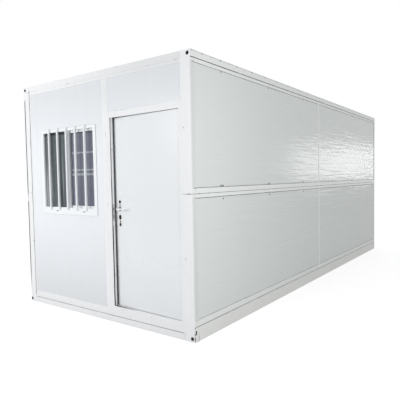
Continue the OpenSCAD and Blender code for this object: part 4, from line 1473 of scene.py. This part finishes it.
# Each pocket is a thin dark patch on the strike: painted shade of an opening.
shape = bmesh.new()
for z, tall in ((strike_high.z - 0.045, 0.022), (strike_low.z + 0.048, 0.028)):
    prism(shape, oblong(0.008, tall, 0.002), facing((strike_x, strike_y, z), (1, 0, 0), UP), 0.0006)
small_part("strike_pockets", shape, "house", DARK_SLOT, 0.0001)

spots = [(strike_x, strike_y, z) for z in (strike_low.z + 0.012, strike_high.z - 0.012)]
fasteners("strike_screws", spots, (1, 0, 0), "house", "strike_steel", SCREW_ZINC,
          head_width=7, head_height=1, washer_width=7.4, washer_height=0.2)
print("leaf's free edge at", round(edge_x, 4), "strike at", round(strike_x, 4))

# %% [markdown]
# ### Sweep and threshold strip
# A black rubber sweep hangs under the leaf and closes the gap over the threshold. In that gap
# lies a flat near-black strip of painted shade, wide at the lock side and tapering towards the
# hinges.

# %% Hang the sweep and lay the strip
SWEEP = [(0, 0), (-0.018, 0), (-0.018, 0.0005), (-0.013, 0.0022), (-0.005, 0.0022), (0, 0.0005)]
SWEEP_INSET = 0.02
STRIP = [(0, 0), (0.30, 0), (0.30, 0.004), (0, 0.022)]
shape = bmesh.new()
start = (leaf_low.x + SWEEP_INSET, leaf_low.y + 0.004, leaf_low.z + 0.0002)
prism(shape, SWEEP, facing(start, (1, 0, 0), (0, 0, -1)), leaf_high.x - leaf_low.x - 2 * SWEEP_INSET)
small_part("door_sweep", shape, "door", BLACK_RUBBER, 0.0003, to_rest)

# Painted shade: a near-black strip in the gap over the threshold.
shape = bmesh.new()
start = (rebate_left + 0.004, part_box("door_frame")[0].y + 0.0045, leaf_low.z - 0.0053)
prism(shape, STRIP, facing(start, UP, (0, 1, 0)), 0.0011)
small_part("threshold_shade_strip", shape, "house", GAP_SHADE_BLACK, 0.0002)

# %% [markdown]
# ### White lips of the door frame
# A flat white lip along the hinge side and another along the foot cover most of the gap round
# the leaf. They stand a fraction of a millimetre proud of the frame and end just short of each
# other. The lower one is slightly wider towards the hinges.

# %% Fit the white lips
LIP_WIDTH = 0.0100
LIP_DEPTH = -0.0016
lip_y = front_plane - 0.0007
lip_z = sill - 0.003
tall = rebate_top - sill - 0.009
shape = bmesh.new()
place = facing((doorway_right - 0.0078, lip_y, lip_z), OUT_FRONT, UP)
prism(shape, [(0, 0), (LIP_WIDTH, 0), (LIP_WIDTH, tall), (0, tall)], place, LIP_DEPTH)
lip_start = rebate_left + 0.33
wide = doorway_right - 0.0079 - lip_start
place = facing((lip_start, lip_y, lip_z), OUT_FRONT, UP)
prism(shape, [(0, 0), (wide, 0), (wide, 0.0068), (0, 0.0058)], place, LIP_DEPTH)
small_part("door_lips", shape, "house", WHITE_SEALANT, 0.0003)
